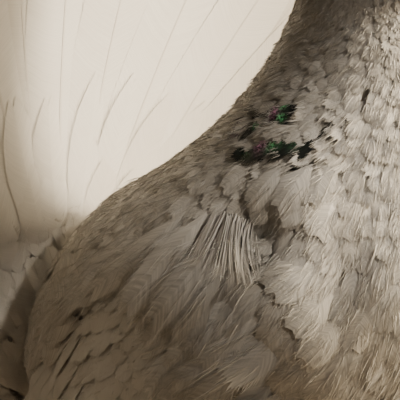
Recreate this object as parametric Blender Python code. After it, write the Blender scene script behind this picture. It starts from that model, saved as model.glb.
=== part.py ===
"""Indian fantail pigeon, life size, standing with its tail fan raised.

Metres, +Z up. The bird faces -Y and stands on the floor, z = 0. Every piece of
the body is parted from its neighbour by a thin gap. Left is +X.
"""

import math

import bmesh
import bpy
from mathutils import Matrix, Vector

GAP = 0.0003

# Body stations from the base of the bill to the root of the tail: dorsal
# (y, z), ventral (y, z) and half width of the section through both points.
STATIONS = (
    (-0.0965, 0.2655, -0.0965, 0.2530, 0.0062),
    (-0.0925, 0.2725, -0.0935, 0.2490, 0.0102),
    (-0.0840, 0.2805, -0.0895, 0.2465, 0.0135),
    (-0.0705, 0.2845, -0.0865, 0.2435, 0.0152),
    (-0.0550, 0.2795, -0.0850, 0.2390, 0.0162),
    (-0.0445, 0.2650, -0.0845, 0.2325, 0.0178),
    (-0.0375, 0.2460, -0.0860, 0.2240, 0.0210),
    (-0.0280, 0.2260, -0.0905, 0.2110, 0.0262),
    (-0.0120, 0.2070, -0.0980, 0.1910, 0.0345),
    (0.0080, 0.1930, -0.1040, 0.1640, 0.0440),
    (0.0240, 0.1845, -0.1025, 0.1310, 0.0500),
    (0.0400, 0.1760, -0.0840, 0.0980, 0.0520),
    (0.0530, 0.1655, -0.0500, 0.0750, 0.0495),
    (0.0640, 0.1535, -0.0080, 0.0690, 0.0425),
    (0.0730, 0.1425, 0.0310, 0.0790, 0.0315),
    (0.0800, 0.1335, 0.0590, 0.0960, 0.0205),
)
HEAD_END, NECK_END, BODY_END = 5.4, 8.5, 15.0
BODY_SIDES = 24

EYE_RADIUS = 0.0046
EYE_PLACE = Vector((0.0114, -0.0800, 0.2665))
EYE_RING_WIRE = 0.0009

BILL_LENGTH = 0.0185
BILL_DROP = 0.0052

WING_ROOT = Vector((0.0470, -0.0560, 0.1740))
WING_DROP_DEG = 42.0
WING_IN = 0.05
WING_LEAN = 0.30
WING_FLESH_END = 5.0
WING_ROOM = 0.016
# Stations of the bed that the folded wing fills: distance along the wing,
# middle of the section across it, half width, height outwards, depth inwards.
WING = (
    (0.000, -0.003, 0.0050, 0.0025, 0.0030),
    (0.010, -0.002, 0.0200, 0.0070, 0.0060),
    (0.030, 0.000, 0.0330, 0.0105, 0.0085),
    (0.060, 0.002, 0.0370, 0.0110, 0.0090),
    (0.090, 0.001, 0.0325, 0.0095, 0.0065),
    (0.115, -0.001, 0.0240, 0.0075, 0.0040),
    (0.140, -0.004, 0.0165, 0.0055, 0.0025),
    (0.165, -0.007, 0.0115, 0.0035, 0.0015),
    (0.185, -0.009, 0.0060, 0.0020, 0.0010),
)
WING_COLUMNS = 8
EDGE_REACH = 1.15

VANE_EDGE = 0.0005
VANE_SPINE = 0.0005

PRIMARIES = 8
SECONDARIES = 8
GREATER_COVERTS = 7
MEDIAN_COVERTS = 6
WING_TILT_DEG = 12.0

FAN_ROOT = Vector((0.0, 0.0790, 0.1200))
FAN_LEAN_DEG = 6.0
FAN_RADIUS = 0.168
FAN_HALF_ANGLE_DEG = 93.0
FAN_CUP = 0.026
FAN_FEATHERS = 30
FAN_TIER = 0.0009
TAIL_PAD = (0.036, 0.013, 0.036)
TAIL_COVERTS = 7

CREST_FEATHERS = 9
CREST_ROOT = Vector((0.0, -0.0510, 0.2740))
CREST_PEAK = Vector((0.0, -0.0440, 0.2960))

MUFF_FEATHERS = 6
MUFF_LENGTH = 0.0400

HIP = Vector((0.0270, 0.0060, 0.0900))
HOCK = Vector((0.0300, 0.0130, 0.0430))
ANKLE = Vector((0.0315, 0.0020, 0.0085))
THIGH_RADII = (0.0200, 0.0165, 0.0105, 0.0070)
SHANK_RADIUS = 0.0034
TOE_LEVEL = 0.0026
# Toes: heading in degrees outwards from straight ahead, length, root radius.
TOES = (
    ("inner", -27.0, 0.0255, 0.0030),
    ("middle", 4.0, 0.0330, 0.0032),
    ("outer", 36.0, 0.0265, 0.0030),
    ("hind", 172.0, 0.0180, 0.0029),
)
CLAW_LENGTH = 0.0068


def clear_scene():
    """Removes whatever the file holds at the start."""
    for obj in list(bpy.data.objects):
        bpy.data.objects.remove(obj)


def material(name, color, roughness):
    """A plain Principled finish."""
    made = bpy.data.materials.new(name)
    made.use_nodes = True
    shader = made.node_tree.nodes["Principled BSDF"]
    shader.inputs["Base Color"].default_value = (*color, 1.0)
    shader.inputs["Roughness"].default_value = roughness
    shader.inputs["Metallic"].default_value = 0.0
    return made


def mesh_object(name, points, faces, finish=None):
    """A closed mesh object with its faces turned outwards."""
    mesh = bpy.data.meshes.new(name)
    mesh.from_pydata([tuple(p) for p in points], [], faces)
    work = bmesh.new()
    work.from_mesh(mesh)
    bmesh.ops.recalc_face_normals(work, faces=work.faces)
    work.to_mesh(mesh)
    work.free()
    obj = bpy.data.objects.new(name, mesh)
    bpy.context.scene.collection.objects.link(obj)
    if finish:
        mesh.materials.append(finish)
    return obj


def loft(name, rings, finish=None):
    """One closed skin over equal rings, with flat ends."""
    count = len(rings[0])
    points = [p for ring in rings for p in ring]
    faces = []
    for i in range(len(rings) - 1):
        for j in range(count):
            a, b = i * count + j, i * count + (j + 1) % count
            faces.append((a, b, b + count, a + count))
    faces.append(tuple(range(count)))
    faces.append(tuple(range(len(points) - count, len(points))))
    return mesh_object(name, points, faces, finish)


def between(rows, s):
    """Smooth values at place s along rows of numbers, by a cubic through them."""
    i = min(max(int(s), 0), len(rows) - 2)
    t = s - i
    before, here = rows[max(i - 1, 0)], rows[i]
    after, beyond = rows[i + 1], rows[min(i + 2, len(rows) - 1)]
    values = []
    for p, q, r, w in zip(before, here, after, beyond):
        first, last = (r - p) / 2, (w - q) / 2
        values.append(
            q + first * t
            + (3 * (r - q) - 2 * first - last) * t ** 2
            + (2 * (q - r) + first + last) * t ** 3
        )
    return values


def body_section(s):
    """Centre, half height towards the back, half width and facing at station s."""
    dy, dz, vy, vz, width = between(STATIONS, s)
    dorsal, ventral = Vector((0, dy, dz)), Vector((0, vy, vz))
    rise = (dorsal - ventral) / 2
    facing = rise.normalized().cross(Vector((1, 0, 0)))
    return (dorsal + ventral) / 2, rise, width, facing


def body_ring(s, shift=0.0):
    """The body's section at station s, moved by shift towards the tail."""
    centre, rise, width, facing = body_section(s)
    tailward = facing if facing.y > 0 or facing.z < 0 else -facing
    ring = []
    for k in range(BODY_SIDES):
        turn = 2 * math.pi * k / BODY_SIDES
        side = Vector((width * math.sin(turn), 0, 0))
        ring.append(centre + rise * math.cos(turn) + side + tailward * shift)
    return ring


def body_piece(name, start, end, steps, finish, shift=0.0):
    """The length of the body from station start to station end."""
    rings = [body_ring(start, shift)]
    rings += [body_ring(start + (end - start) * k / steps) for k in range(1, steps + 1)]
    return loft(name, rings, finish)


def tube(name, centres, radii, sides=12, finish=None, flat=1.0):
    """A round limb through centres. flat squeezes its sections upwards."""
    rings = []
    for i, centre in enumerate(centres):
        along = centres[min(i + 1, len(centres) - 1)] - centres[max(i - 1, 0)]
        along.normalize()
        helper = Vector((0, 0, 1)) if abs(along.z) < 0.9 else Vector((0, 1, 0))
        across = along.cross(helper).normalized()
        up = across.cross(along)
        rings.append([
            centre + across * radii[i] * math.cos(2 * math.pi * k / sides)
            + up * radii[i] * flat * math.sin(2 * math.pi * k / sides)
            for k in range(sides)
        ])
    return loft(name, rings, finish)


def ball(name, centre, radii, finish=None, segments=20, rings=12):
    """An ellipsoid."""
    mesh = bpy.data.meshes.new(name)
    work = bmesh.new()
    bmesh.ops.create_uvsphere(work, u_segments=segments, v_segments=rings, radius=1.0)
    bmesh.ops.transform(
        work,
        matrix=Matrix.Translation(centre) @ Matrix.Diagonal((*radii, 1.0)),
        verts=work.verts,
    )
    work.to_mesh(mesh)
    work.free()
    obj = bpy.data.objects.new(name, mesh)
    bpy.context.scene.collection.objects.link(obj)
    if finish:
        mesh.materials.append(finish)
    return obj


def ring_solid(name, centre, axis, radius, wire, sides=12, wire_sides=6):
    """A round wire bent into a circle about an axis."""
    axis = axis.normalized()
    across = axis.cross(Vector((0, 0, 1))).normalized()
    up = across.cross(axis)
    points, faces = [], []
    for i in range(sides):
        turn = 2 * math.pi * i / sides
        out = across * math.cos(turn) + up * math.sin(turn)
        for j in range(wire_sides):
            roll = 2 * math.pi * j / wire_sides
            points.append(
                centre + out * (radius + wire * math.cos(roll))
                + axis * wire * math.sin(roll)
            )
            a, b = i * wire_sides + j, i * wire_sides + (j + 1) % wire_sides
            c, d = ((i + 1) % sides) * wire_sides + j, ((i + 1) % sides) * wire_sides
            faces.append((a, b, d + (j + 1) % wire_sides, c))
    return mesh_object(name, points, faces)


def vane(path, halves, facing, tilt_deg=0.0, edge=VANE_EDGE, spine=VANE_SPINE):
    """One feather's vane: a thin closed blade along a path, with a raised shaft.

    Both faces are split into triangles alike, so that they never cross.
    """
    points = []
    for i, (centre, half) in enumerate(zip(path, halves)):
        along = (path[min(i + 1, len(path) - 1)] - path[max(i - 1, 0)]).normalized()
        across = facing.cross(along).normalized()
        turn = Matrix.Rotation(math.radians(tilt_deg), 3, along)
        across = turn @ across
        normal = along.cross(across)
        side, rise = across * half, normal * edge / 2
        points += [
            centre - side + rise, centre + normal * spine + rise, centre + side + rise,
            centre + side - rise, centre - rise, centre - side - rise,
        ]
    faces = []
    for i in range(len(path) - 1):
        for k in range(6):
            a, b = 6 * i + k, 6 * i + (k + 1) % 6
            c, d = b + 6, a + 6
            faces += [(a, b, c), (a, c, d)] if k < 3 else [(a, b, d), (b, c, d)]
    for first in (0, 6 * (len(path) - 1)):
        for corners in ((0, 1, 5), (1, 4, 5), (1, 2, 4), (2, 3, 4)):
            faces.append(tuple(first + k for k in corners))
    return mesh_object("vane", points, faces)


def curve_through(start, middle, end, steps):
    """Points along a smooth bend from start to end that leans towards middle."""
    return [
        start * (1 - t) ** 2 + middle * 2 * t * (1 - t) + end * t ** 2
        for t in (k / (steps - 1) for k in range(steps))
    ]


def largest_only(mesh):
    """Keeps the mesh's largest closed surface."""
    work = bmesh.new()
    work.from_mesh(mesh)
    left, islands = set(work.faces), []
    while left:
        edge = [left.pop()]
        island = list(edge)
        while edge:
            for side in edge.pop().edges:
                for face in side.link_faces:
                    if face in left:
                        left.remove(face)
                        edge.append(face)
                        island.append(face)
        islands.append(island)
    islands.sort(key=lambda found: sum(f.calc_area() for f in found))
    loose = [f for island in islands[:-1] for f in island]
    bmesh.ops.delete(work, geom=loose, context="FACES")
    work.to_mesh(mesh)
    work.free()


def combine(obj, others, operation, solver="MANIFOLD"):
    """Joins others to obj, or cuts them from it, and removes them."""
    helpers = bpy.data.collections.new(obj.name + "_helpers")
    bpy.context.scene.collection.children.link(helpers)
    for other in others:
        bpy.context.scene.collection.objects.unlink(other)
        helpers.objects.link(other)
    step = obj.modifiers.new("combine", "BOOLEAN")
    step.operation = operation
    step.operand_type = "COLLECTION"
    step.collection = helpers
    step.solver = solver
    graph = bpy.context.evaluated_depsgraph_get()
    joined = bpy.data.meshes.new_from_object(obj.evaluated_get(graph))
    obj.modifiers.clear()
    obj.data = joined
    for other in others:
        bpy.data.objects.remove(other)
    bpy.data.collections.remove(helpers)
    largest_only(joined)


def fattened(obj, by):
    """A helper copy of obj that is larger by a set distance all round."""
    work = bmesh.new()
    work.from_mesh(obj.data)
    work.normal_update()
    moves = [(v, v.normal * (by * v.calc_shell_factor())) for v in work.verts]
    for vert, move in moves:
        vert.co += move
    mesh = bpy.data.meshes.new(obj.name + "_fat")
    work.to_mesh(mesh)
    work.free()
    copy = bpy.data.objects.new(obj.name + "_fat", mesh)
    bpy.context.scene.collection.objects.link(copy)
    return copy


def cut_clear(obj, *neighbours):
    """Cuts obj back so that a gap is left to each neighbour."""
    combine(obj, [fattened(n, GAP) for n in neighbours], "DIFFERENCE")


def cut_level(obj, level, keep_above=True):
    """Cuts obj flat at a height."""
    work = bmesh.new()
    work.from_mesh(obj.data)
    cut = bmesh.ops.bisect_plane(
        work,
        geom=work.verts[:] + work.edges[:] + work.faces[:],
        plane_co=(0, 0, level),
        plane_no=(0, 0, -1 if keep_above else 1),
        clear_outer=True,
    )
    rim = [e for e in cut["geom_cut"] if isinstance(e, bmesh.types.BMEdge)]
    bmesh.ops.holes_fill(work, edges=rim)
    bmesh.ops.recalc_face_normals(work, faces=work.faces)
    work.to_mesh(obj.data)
    work.free()


def smooth(obj, angle_deg=40.0):
    """Shades the round faces smooth and keeps the sharp edges."""
    obj.data.shade_smooth()
    obj.data.set_sharp_from_angle(angle=math.radians(angle_deg))


def mirrored(vector, side):
    """The vector on the left for side 1 and on the right for side -1."""
    return Vector((vector.x * side, vector.y, vector.z))


def side_name(side):
    return "left" if side > 0 else "right"


def wing_frame(side):
    """Root, direction along the wing, direction across it and outward normal."""
    drop = math.radians(WING_DROP_DEG)
    along = Vector((-side * WING_IN, math.cos(drop), -math.sin(drop))).normalized()
    across = Vector((-side * WING_LEAN, math.sin(drop), math.cos(drop)))
    across = (across - along * across.dot(along)).normalized()
    outward = along.cross(across) * side
    return mirrored(WING_ROOT, side), along, across, outward


def wing_values(u):
    """Middle, half width, height and depth of the wing at a distance along it."""
    reach = [row[0] for row in WING]
    i = max(k for k in range(len(reach) - 1) if reach[k] <= u or k == 0)
    s = i + min(max((u - reach[i]) / (reach[i + 1] - reach[i]), 0.0), 1.0)
    return between(WING, s)[1:]


def wing_loft(name, side, end, finish=None, clear=0.0):
    """The lens that the folded wing fills, from its bend to station end.

    clear widens it outwards only, to the room that the feathers take.
    """
    root, along, across, outward = wing_frame(side)
    steps = round(2 * end)
    rings = []
    for k in range(steps + 1):
        u, middle, half, high, deep = between(WING, end * k / steps)
        top, bottom = [], []
        for j in range(WING_COLUMNS + 1):
            share = 2 * j / WING_COLUMNS - 1
            fall = math.cos(math.pi / 2 * abs(share) / EDGE_REACH)
            base = root + along * u + across * (middle + half * share)
            top.append(base + outward * (high * fall + clear) + across * (0.6 * clear * share))
            bottom.append(base - outward * deep * fall)
        rings.append(top + bottom[::-1])
    return loft(name, rings, finish)


def wing_top(u, v):
    """Height of the wing's outer surface at a place along and across it."""
    middle, half, high, _ = wing_values(u)
    share = min(abs(v - middle) / half, 1.0)
    return high * math.cos(math.pi / 2 * share / EDGE_REACH)


def wing_vane(side, root, middle, tip, widest, stations, tilt=1.0):
    """A wing feather through three places (along, across, outwards) of the wing."""
    origin, along, across, outward = wing_frame(side)
    places = [origin + along * u + across * v + outward * w for u, v, w in (root, middle, tip)]
    path = curve_through(*places, stations)
    shape = (0.45, 0.85, 1.0, 0.95, 0.35) if stations == 5 else (0.5, 0.95, 0.95, 0.40)
    halves = [widest * share for share in shape]
    return vane(path, halves, outward, -side * tilt * WING_TILT_DEG)


def wing_feathers(side):
    """Flight feathers and two tiers of coverts, from the innermost tier outwards."""
    vanes = []
    for k in range(PRIMARIES):
        t = k / (PRIMARIES - 1)
        vanes.append(wing_vane(
            side,
            (0.062, 0.004 - 0.020 * t, 0.0020 - 0.0035 * t),
            (0.125, 0.002 - 0.022 * t, 0.0026 - 0.0036 * t),
            (0.165 + 0.045 * t ** 0.8, 0.000 - 0.010 * t, 0.0022 - 0.0034 * t),
            0.0072, 5,
        ))
    for k in range(SECONDARIES):
        t = k / (SECONDARIES - 1)
        v = -0.014 + 0.036 * t
        vanes.append(wing_vane(
            side,
            (0.055, v, wing_top(0.055, v) - 0.0030),
            (0.105, v, 0.0052 + 0.0040 * math.sin(math.pi * t)),
            (0.152 - 0.020 * t, -0.016 + 0.030 * t, 0.0040 + 0.0012 * t),
            0.0078, 4, 1.0 - 0.8 * t,
        ))
    for count, start, end, lowest, span in (
        (GREATER_COVERTS, 0.034, 0.086, -0.022, 0.044),
        (MEDIAN_COVERTS, 0.012, 0.052, -0.018, 0.036),
    ):
        for k in range(count):
            t = k / (count - 1)
            v = lowest + span * t
            reach = end - 0.006 * math.cos(math.pi * t)
            middle, half, _, _ = wing_values(start)
            rooted = middle + half * 0.62 * (2 * t - 1)
            vanes.append(wing_vane(
                side,
                (start, rooted, wing_top(start, rooted) - 0.0024),
                ((start + end) / 2, v, wing_top((start + end) / 2, v) + 0.0012),
                (reach, v - 0.002, wing_top(reach, v - 0.002) + 0.0028),
                0.0070, 4, 1.0 - 0.8 * t,
            ))
    return vanes


def make_wing(side, finish):
    """The folded wing: its flesh with every vane rooted in it."""
    wing = wing_loft("wing_" + side_name(side), side, WING_FLESH_END, finish)
    combine(wing, wing_feathers(side), "UNION")
    return wing


def fan_frame():
    """Sideways, upwards in the fan and its front normal."""
    lean = math.radians(FAN_LEAN_DEG)
    up = Vector((0, -math.sin(lean), math.cos(lean)))
    return Vector((1, 0, 0)), up, Vector((0, -math.cos(lean), -math.sin(lean)))


def fan_vane(psi_deg, radii, rises, halves):
    """A tail feather at an angle from upright, by its radii, rises and half widths."""
    aside, up, front = fan_frame()
    psi = math.radians(psi_deg)
    out = aside * math.sin(psi) + up * math.cos(psi)
    path = [
        FAN_ROOT + out * radius + front * (FAN_CUP * (radius / FAN_RADIUS) ** 2 + rise)
        for radius, rise in zip(radii, rises)
    ]
    return vane(path, halves, front)


def fan_feathers():
    """Two tiers of tail feathers, then short coverts before and behind them."""
    vanes = []
    for k in range(FAN_FEATHERS):
        psi = FAN_HALF_ANGLE_DEG * (2 * k / (FAN_FEATHERS - 1) - 1)
        tier = FAN_TIER if k % 2 else -FAN_TIER
        vanes.append(fan_vane(
            psi,
            (0.020, 0.060, 0.112, 0.154, FAN_RADIUS),
            (tier,) * 5,
            (0.0018, 0.0058, 0.0118, 0.0132, 0.0045),
        ))
    for way, radii, spread in (
        (1, (0.030, 0.045, 0.062, 0.080), 62.0),
        (-1, (0.016, 0.038, 0.058, 0.074), 76.0),
    ):
        for k in range(TAIL_COVERTS):
            psi = spread * (2 * k / (TAIL_COVERTS - 1) - 1) + 3
            vanes.append(fan_vane(
                psi, radii,
                (0.0, way * 0.0024, way * 0.0032, way * 0.0040),
                (0.0022, 0.0060, 0.0070, 0.0030),
            ))
    return vanes


def make_tail(finish, torso_whole, beds):
    """Tail pad, collar and fan as one node."""
    tail = ball("tail", FAN_ROOT, TAIL_PAD, finish, 18, 9)
    collar = loft("collar", [body_ring(BODY_END, GAP), [
        p + Vector((0, 0.012, -0.006)) for p in body_ring(BODY_END)
    ]])
    combine(tail, [collar, *fan_feathers()], "UNION")
    cut_clear(tail, torso_whole, *beds)
    return tail


def make_bill(horn, pale, head_whole):
    """Upper and lower bill and the cere at the foot of the upper one."""
    base = body_section(0.0)[0]
    upper, lower = [], []
    for k in range(9):
        share = k / 8
        reach = BILL_LENGTH * share
        y = base.y - GAP - reach
        taper = (1 - share ** 2.2) * 0.94 + 0.06
        ridge = base.z + 0.0042 * taper - BILL_DROP * share ** 2.2 * 0.75 + 0.0008
        seam = base.z - 0.0012 - BILL_DROP * share ** 1.8 * 0.80
        keel = seam - 0.0036 * (1 - share ** 2.0) - 0.0006
        half = 0.0048 * (1 - share ** 1.7) + 0.0007
        upper.append(bill_ring(y, seam + GAP / 2, max(ridge, seam + 0.0012), half, 1))
        if share < 0.95:
            lower.append(bill_ring(y, seam - GAP / 2, keel, half * 0.86, -1))
    bill_upper = loft("bill_upper", upper, horn)
    bill_lower = loft("bill_lower", lower, horn)
    cere = ball("cere", Vector((0.0022, base.y - 0.0040, base.z + 0.0043)),
                (0.0034, 0.0050, 0.0030), pale, 12, 8)
    twin = ball("cere_twin", Vector((-0.0022, base.y - 0.0040, base.z + 0.0043)),
                (0.0034, 0.0050, 0.0030), None, 12, 8)
    combine(cere, [twin], "UNION")
    cut_clear(cere, bill_upper, head_whole)
    return bill_upper, bill_lower, cere


def bill_ring(y, seam, outer, half, way):
    """One section of a bill half, flat at the seam and round outside."""
    ring = []
    for k in range(12):
        turn = math.pi * k / 11
        ring.append(Vector((
            half * math.cos(turn), y, seam + (outer - seam) * math.sin(turn) ** 0.8
        )))
    return ring if way > 0 else ring[::-1]


def crest_feathers():
    """The peak: small feathers round the nape that lean together to a point."""
    vanes = []
    for k in range(CREST_FEATHERS):
        t = 2 * k / (CREST_FEATHERS - 1) - 1
        turn = math.radians(72.0 * t)
        out = Vector((math.sin(turn), math.cos(turn), 0))
        low = 0.0020 * (k % 2)
        root = CREST_ROOT + Vector((0.0085 * math.sin(turn), 0.004 * math.cos(turn), -0.003))
        tip = CREST_PEAK + Vector((0.0032 * t, 0.0022 * (1 - abs(t)), -0.004 * abs(t) - low))
        middle = (root + tip) / 2 + out * 0.0060
        path = curve_through(root, middle, tip, 4)
        halves = [0.0018, 0.0031, 0.0026, 0.0008]
        vanes.append(vane(path, halves, out, 0.0, VANE_EDGE, 0.0003))
    return vanes


def make_head(feather, eye_finish):
    """Head with its crest and lids, and the eyes set in it."""
    head = body_piece("head", 0.0, HEAD_END, 14, feather)
    eyes = []
    for side in (1, -1):
        place = mirrored(EYE_PLACE, side)
        eye = ball("eye_" + side_name(side), place, (EYE_RADIUS,) * 3, eye_finish, 14, 8)
        eyes.append(eye)
    rings = [
        ring_solid("lid", mirrored(EYE_PLACE, side) + Vector((side * 0.0026, 0, 0)),
                   Vector((side, -0.12, 0.05)), EYE_RADIUS - 0.0004, EYE_RING_WIRE)
        for side in (1, -1)
    ]
    combine(head, [*crest_feathers(), *rings], "UNION")
    cut_clear(head, *eyes)
    return head, eyes


def muff_feathers(side, ankle):
    """Long feathers that spread outwards and back from the foot in two tiers."""
    vanes = []
    for tier, (count, length, level) in enumerate((
        (MUFF_FEATHERS, MUFF_LENGTH, 0.0105),
        (MUFF_FEATHERS - 2, MUFF_LENGTH * 0.66, 0.0205),
    )):
        for k in range(count):
            t = k / (count - 1)
            turn = math.radians(58.0 + 92.0 * t)
            heading = Vector((side * math.sin(turn), -math.cos(turn), 0))
            reach = length * (1.0 - 0.22 * (2 * t - 1) ** 2)
            root = Vector((ankle.x, ankle.y + 0.001, level + 0.0008 * (k % 2)))
            tip = root + heading * reach - Vector((0, 0, level - 0.0034 - 0.0055 * tier))
            middle = root + heading * reach * 0.55 + Vector((0, 0, 0.0005))
            halves = [0.0020, 0.0046, 0.0050, 0.0018]
            vanes.append(vane(curve_through(root, middle, tip, 4), halves, Vector((0, 0, 1)),
                              side * 8.0))
    return vanes


def claw(name, start, heading, finish):
    """A curved, tapering claw from the end of a toe."""
    centres, radii = [], []
    for k in range(4):
        share = k / 3
        drop = 0.0016 * share ** 2
        centres.append(start + heading * CLAW_LENGTH * share - Vector((0, 0, drop)))
        radii.append(0.0013 * (1 - share) + 0.0003)
    return tube(name, centres, radii, 7, finish)


def make_leg(side, feather, scale, horn, torso_whole, bed):
    """Feathered thigh, shank with its toes, and the claws."""
    hip, hock, ankle = (mirrored(p, side) for p in (HIP, HOCK, ANKLE))
    thigh_path = [hip, hip.lerp(hock, 0.4), hip.lerp(hock, 0.8), hock]
    thigh = tube("thigh_" + side_name(side), thigh_path, THIGH_RADII, 18, feather)
    cut_clear(thigh, torso_whole, bed)
    foot_top = hock - (hock - hip).normalized() * -GAP
    foot = tube(
        "foot_" + side_name(side),
        [foot_top, hock.lerp(ankle, 0.3), hock.lerp(ankle, 0.8), ankle - Vector((0, 0, 0.004))],
        (SHANK_RADIUS * 1.5, SHANK_RADIUS, SHANK_RADIUS * 1.05, SHANK_RADIUS * 1.2),
        12, scale,
    )
    toes, claws = [], []
    for toe_name, heading_deg, length, radius in TOES:
        turn = math.radians(heading_deg)
        heading = Vector((side * math.sin(turn), -math.cos(turn), 0))
        root = Vector((ankle.x, ankle.y, TOE_LEVEL + 0.002))
        centres, radii = [], []
        for k in range(7):
            share = k / 6
            knuckle = 1.0 + 0.10 * math.cos(6 * math.pi * share)
            size = radius * (1 - 0.42 * share) * knuckle
            centres.append(root + heading * length * share
                           - Vector((0, 0, 0.002 * min(share * 3, 1) + radius - size)))
            radii.append(size)
        toes.append(tube("toe", centres, radii, 8))
        tip = centres[-1] + heading * GAP
        claws.append(claw("claw_" + toe_name + "_" + side_name(side), tip, heading, horn))
    combine(foot, [*toes, *muff_feathers(side, ankle)], "UNION")
    cut_level(foot, 0.0)
    cut_clear(foot, thigh, *claws)
    for made in claws:
        cut_level(made, 0.0)
    return thigh, foot, claws


def stand_on_origin(nodes):
    """Hangs the nodes on an empty that centres the bird over the origin, on the floor."""
    points = [v.co for obj in nodes for v in obj.data.vertices]
    low = Vector([min(p[k] for p in points) for k in range(3)])
    high = Vector([max(p[k] for p in points) for k in range(3)])
    root = bpy.data.objects.new("pigeon", None)
    root.location = (-(low.x + high.x) / 2, -(low.y + high.y) / 2, -low.z)
    bpy.context.scene.collection.objects.link(root)
    for obj in nodes:
        obj.parent = root


def build():
    clear_scene()
    feather = material("white_feather", (0.86, 0.83, 0.78), 0.8)
    horn = material("horn", (0.82, 0.66, 0.58), 0.35)
    pale = material("cere_skin", (0.86, 0.80, 0.76), 0.7)
    scale = material("foot_skin", (0.72, 0.28, 0.24), 0.5)
    dark = material("eye", (0.05, 0.02, 0.01), 0.1)

    head, eyes = make_head(feather, dark)
    head_whole = body_piece("head_whole", 0.0, HEAD_END, 14, None)
    bill = make_bill(horn, pale, head_whole)
    bpy.data.objects.remove(head_whole)
    neck = body_piece("neck", HEAD_END, NECK_END, 7, feather, GAP)
    torso = body_piece("torso", NECK_END, BODY_END, 16, feather, GAP)
    torso_whole = torso.copy()
    torso_whole.data = torso.data.copy()
    bpy.context.scene.collection.objects.link(torso_whole)
    beds = [wing_loft("bed", side, len(WING) - 1.0, None, WING_ROOM) for side in (1, -1)]
    wings = [make_wing(side, feather) for side in (1, -1)]
    cut_clear(torso, *beds)
    tail = make_tail(feather, torso_whole, beds)
    legs = []
    for side, bed in zip((1, -1), beds):
        thigh, foot, claws = make_leg(side, feather, scale, horn, torso_whole, bed)
        legs += [thigh, foot, *claws]
    for helper in (torso_whole, *beds):
        bpy.data.objects.remove(helper)
    nodes = [head, *eyes, *bill, neck, torso, *wings, tail, *legs]
    for obj in nodes:
        smooth(obj)
    stand_on_origin(nodes)


build()
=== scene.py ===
"""Looks of the Indian fantail pigeon: skin, plumage, eyes, bill and feet.

Every length is in metres. The bird faces -Y, and its left side is +X. A place on
the body is told by its station s, from the bill to the tail, and its turn, from
the middle of the back (0) by the left side (pi / 2) to the belly (pi).
"""

import math

import bpy
import numpy as np
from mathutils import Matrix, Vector


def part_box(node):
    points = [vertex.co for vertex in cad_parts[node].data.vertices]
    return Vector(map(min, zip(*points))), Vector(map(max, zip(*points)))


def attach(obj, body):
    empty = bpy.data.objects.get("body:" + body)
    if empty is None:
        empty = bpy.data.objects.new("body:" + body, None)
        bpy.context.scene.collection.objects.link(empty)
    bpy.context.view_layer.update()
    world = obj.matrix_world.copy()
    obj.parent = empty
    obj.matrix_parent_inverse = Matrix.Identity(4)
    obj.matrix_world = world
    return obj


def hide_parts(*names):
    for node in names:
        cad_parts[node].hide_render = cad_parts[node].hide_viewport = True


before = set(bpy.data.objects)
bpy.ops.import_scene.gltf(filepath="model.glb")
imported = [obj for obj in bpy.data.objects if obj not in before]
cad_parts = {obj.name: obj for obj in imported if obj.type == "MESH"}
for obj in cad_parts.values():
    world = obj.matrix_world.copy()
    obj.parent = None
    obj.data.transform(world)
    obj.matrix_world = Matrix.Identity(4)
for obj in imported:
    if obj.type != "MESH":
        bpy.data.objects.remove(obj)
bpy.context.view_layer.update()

# The body's stations, as in its solids: dorsal (y, z), ventral (y, z), half width.
STATIONS = np.array((
    (-0.0965, 0.2655, -0.0965, 0.2530, 0.0062),
    (-0.0925, 0.2725, -0.0935, 0.2490, 0.0102),
    (-0.0840, 0.2805, -0.0895, 0.2465, 0.0135),
    (-0.0705, 0.2845, -0.0865, 0.2435, 0.0152),
    (-0.0550, 0.2795, -0.0850, 0.2390, 0.0162),
    (-0.0445, 0.2650, -0.0845, 0.2325, 0.0178),
    (-0.0375, 0.2460, -0.0860, 0.2240, 0.0210),
    (-0.0280, 0.2260, -0.0905, 0.2110, 0.0262),
    (-0.0120, 0.2070, -0.0980, 0.1910, 0.0345),
    (0.0080, 0.1930, -0.1040, 0.1640, 0.0440),
    (0.0240, 0.1845, -0.1025, 0.1310, 0.0500),
    (0.0400, 0.1760, -0.0840, 0.0980, 0.0520),
    (0.0530, 0.1655, -0.0500, 0.0750, 0.0495),
    (0.0640, 0.1535, -0.0080, 0.0690, 0.0425),
    (0.0730, 0.1425, 0.0310, 0.0790, 0.0315),
    (0.0800, 0.1335, 0.0590, 0.0960, 0.0205),
))
BODY_END = len(STATIONS) - 1.0
GRID = (601, 361)
FULL_TURN = 2 * math.pi
EYE_PLACE = np.array((0.0114, -0.0800, 0.2665))
EYE_RADIUS = 0.0046
GAZE = np.array((0.963, -0.262, 0.062))

WING_ROOT = np.array((0.0470, -0.0560, 0.1740))
WING_DROP = math.radians(42.0)
WING_IN = 0.05
WING_LEAN = 0.30
# The folded wing: distance along it, middle, half width, height and depth.
WING = np.array((
    (0.000, -0.003, 0.0050, 0.0025, 0.0030),
    (0.010, -0.002, 0.0200, 0.0070, 0.0060),
    (0.030, 0.000, 0.0330, 0.0105, 0.0085),
    (0.060, 0.002, 0.0370, 0.0110, 0.0090),
    (0.090, 0.001, 0.0325, 0.0095, 0.0065),
    (0.115, -0.001, 0.0240, 0.0075, 0.0040),
    (0.140, -0.004, 0.0165, 0.0055, 0.0025),
    (0.165, -0.007, 0.0115, 0.0035, 0.0015),
    (0.185, -0.009, 0.0060, 0.0020, 0.0010),
))
WING_LENGTH = 0.185
EDGE_REACH = 1.15
WING_COVER = 0.0026

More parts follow.
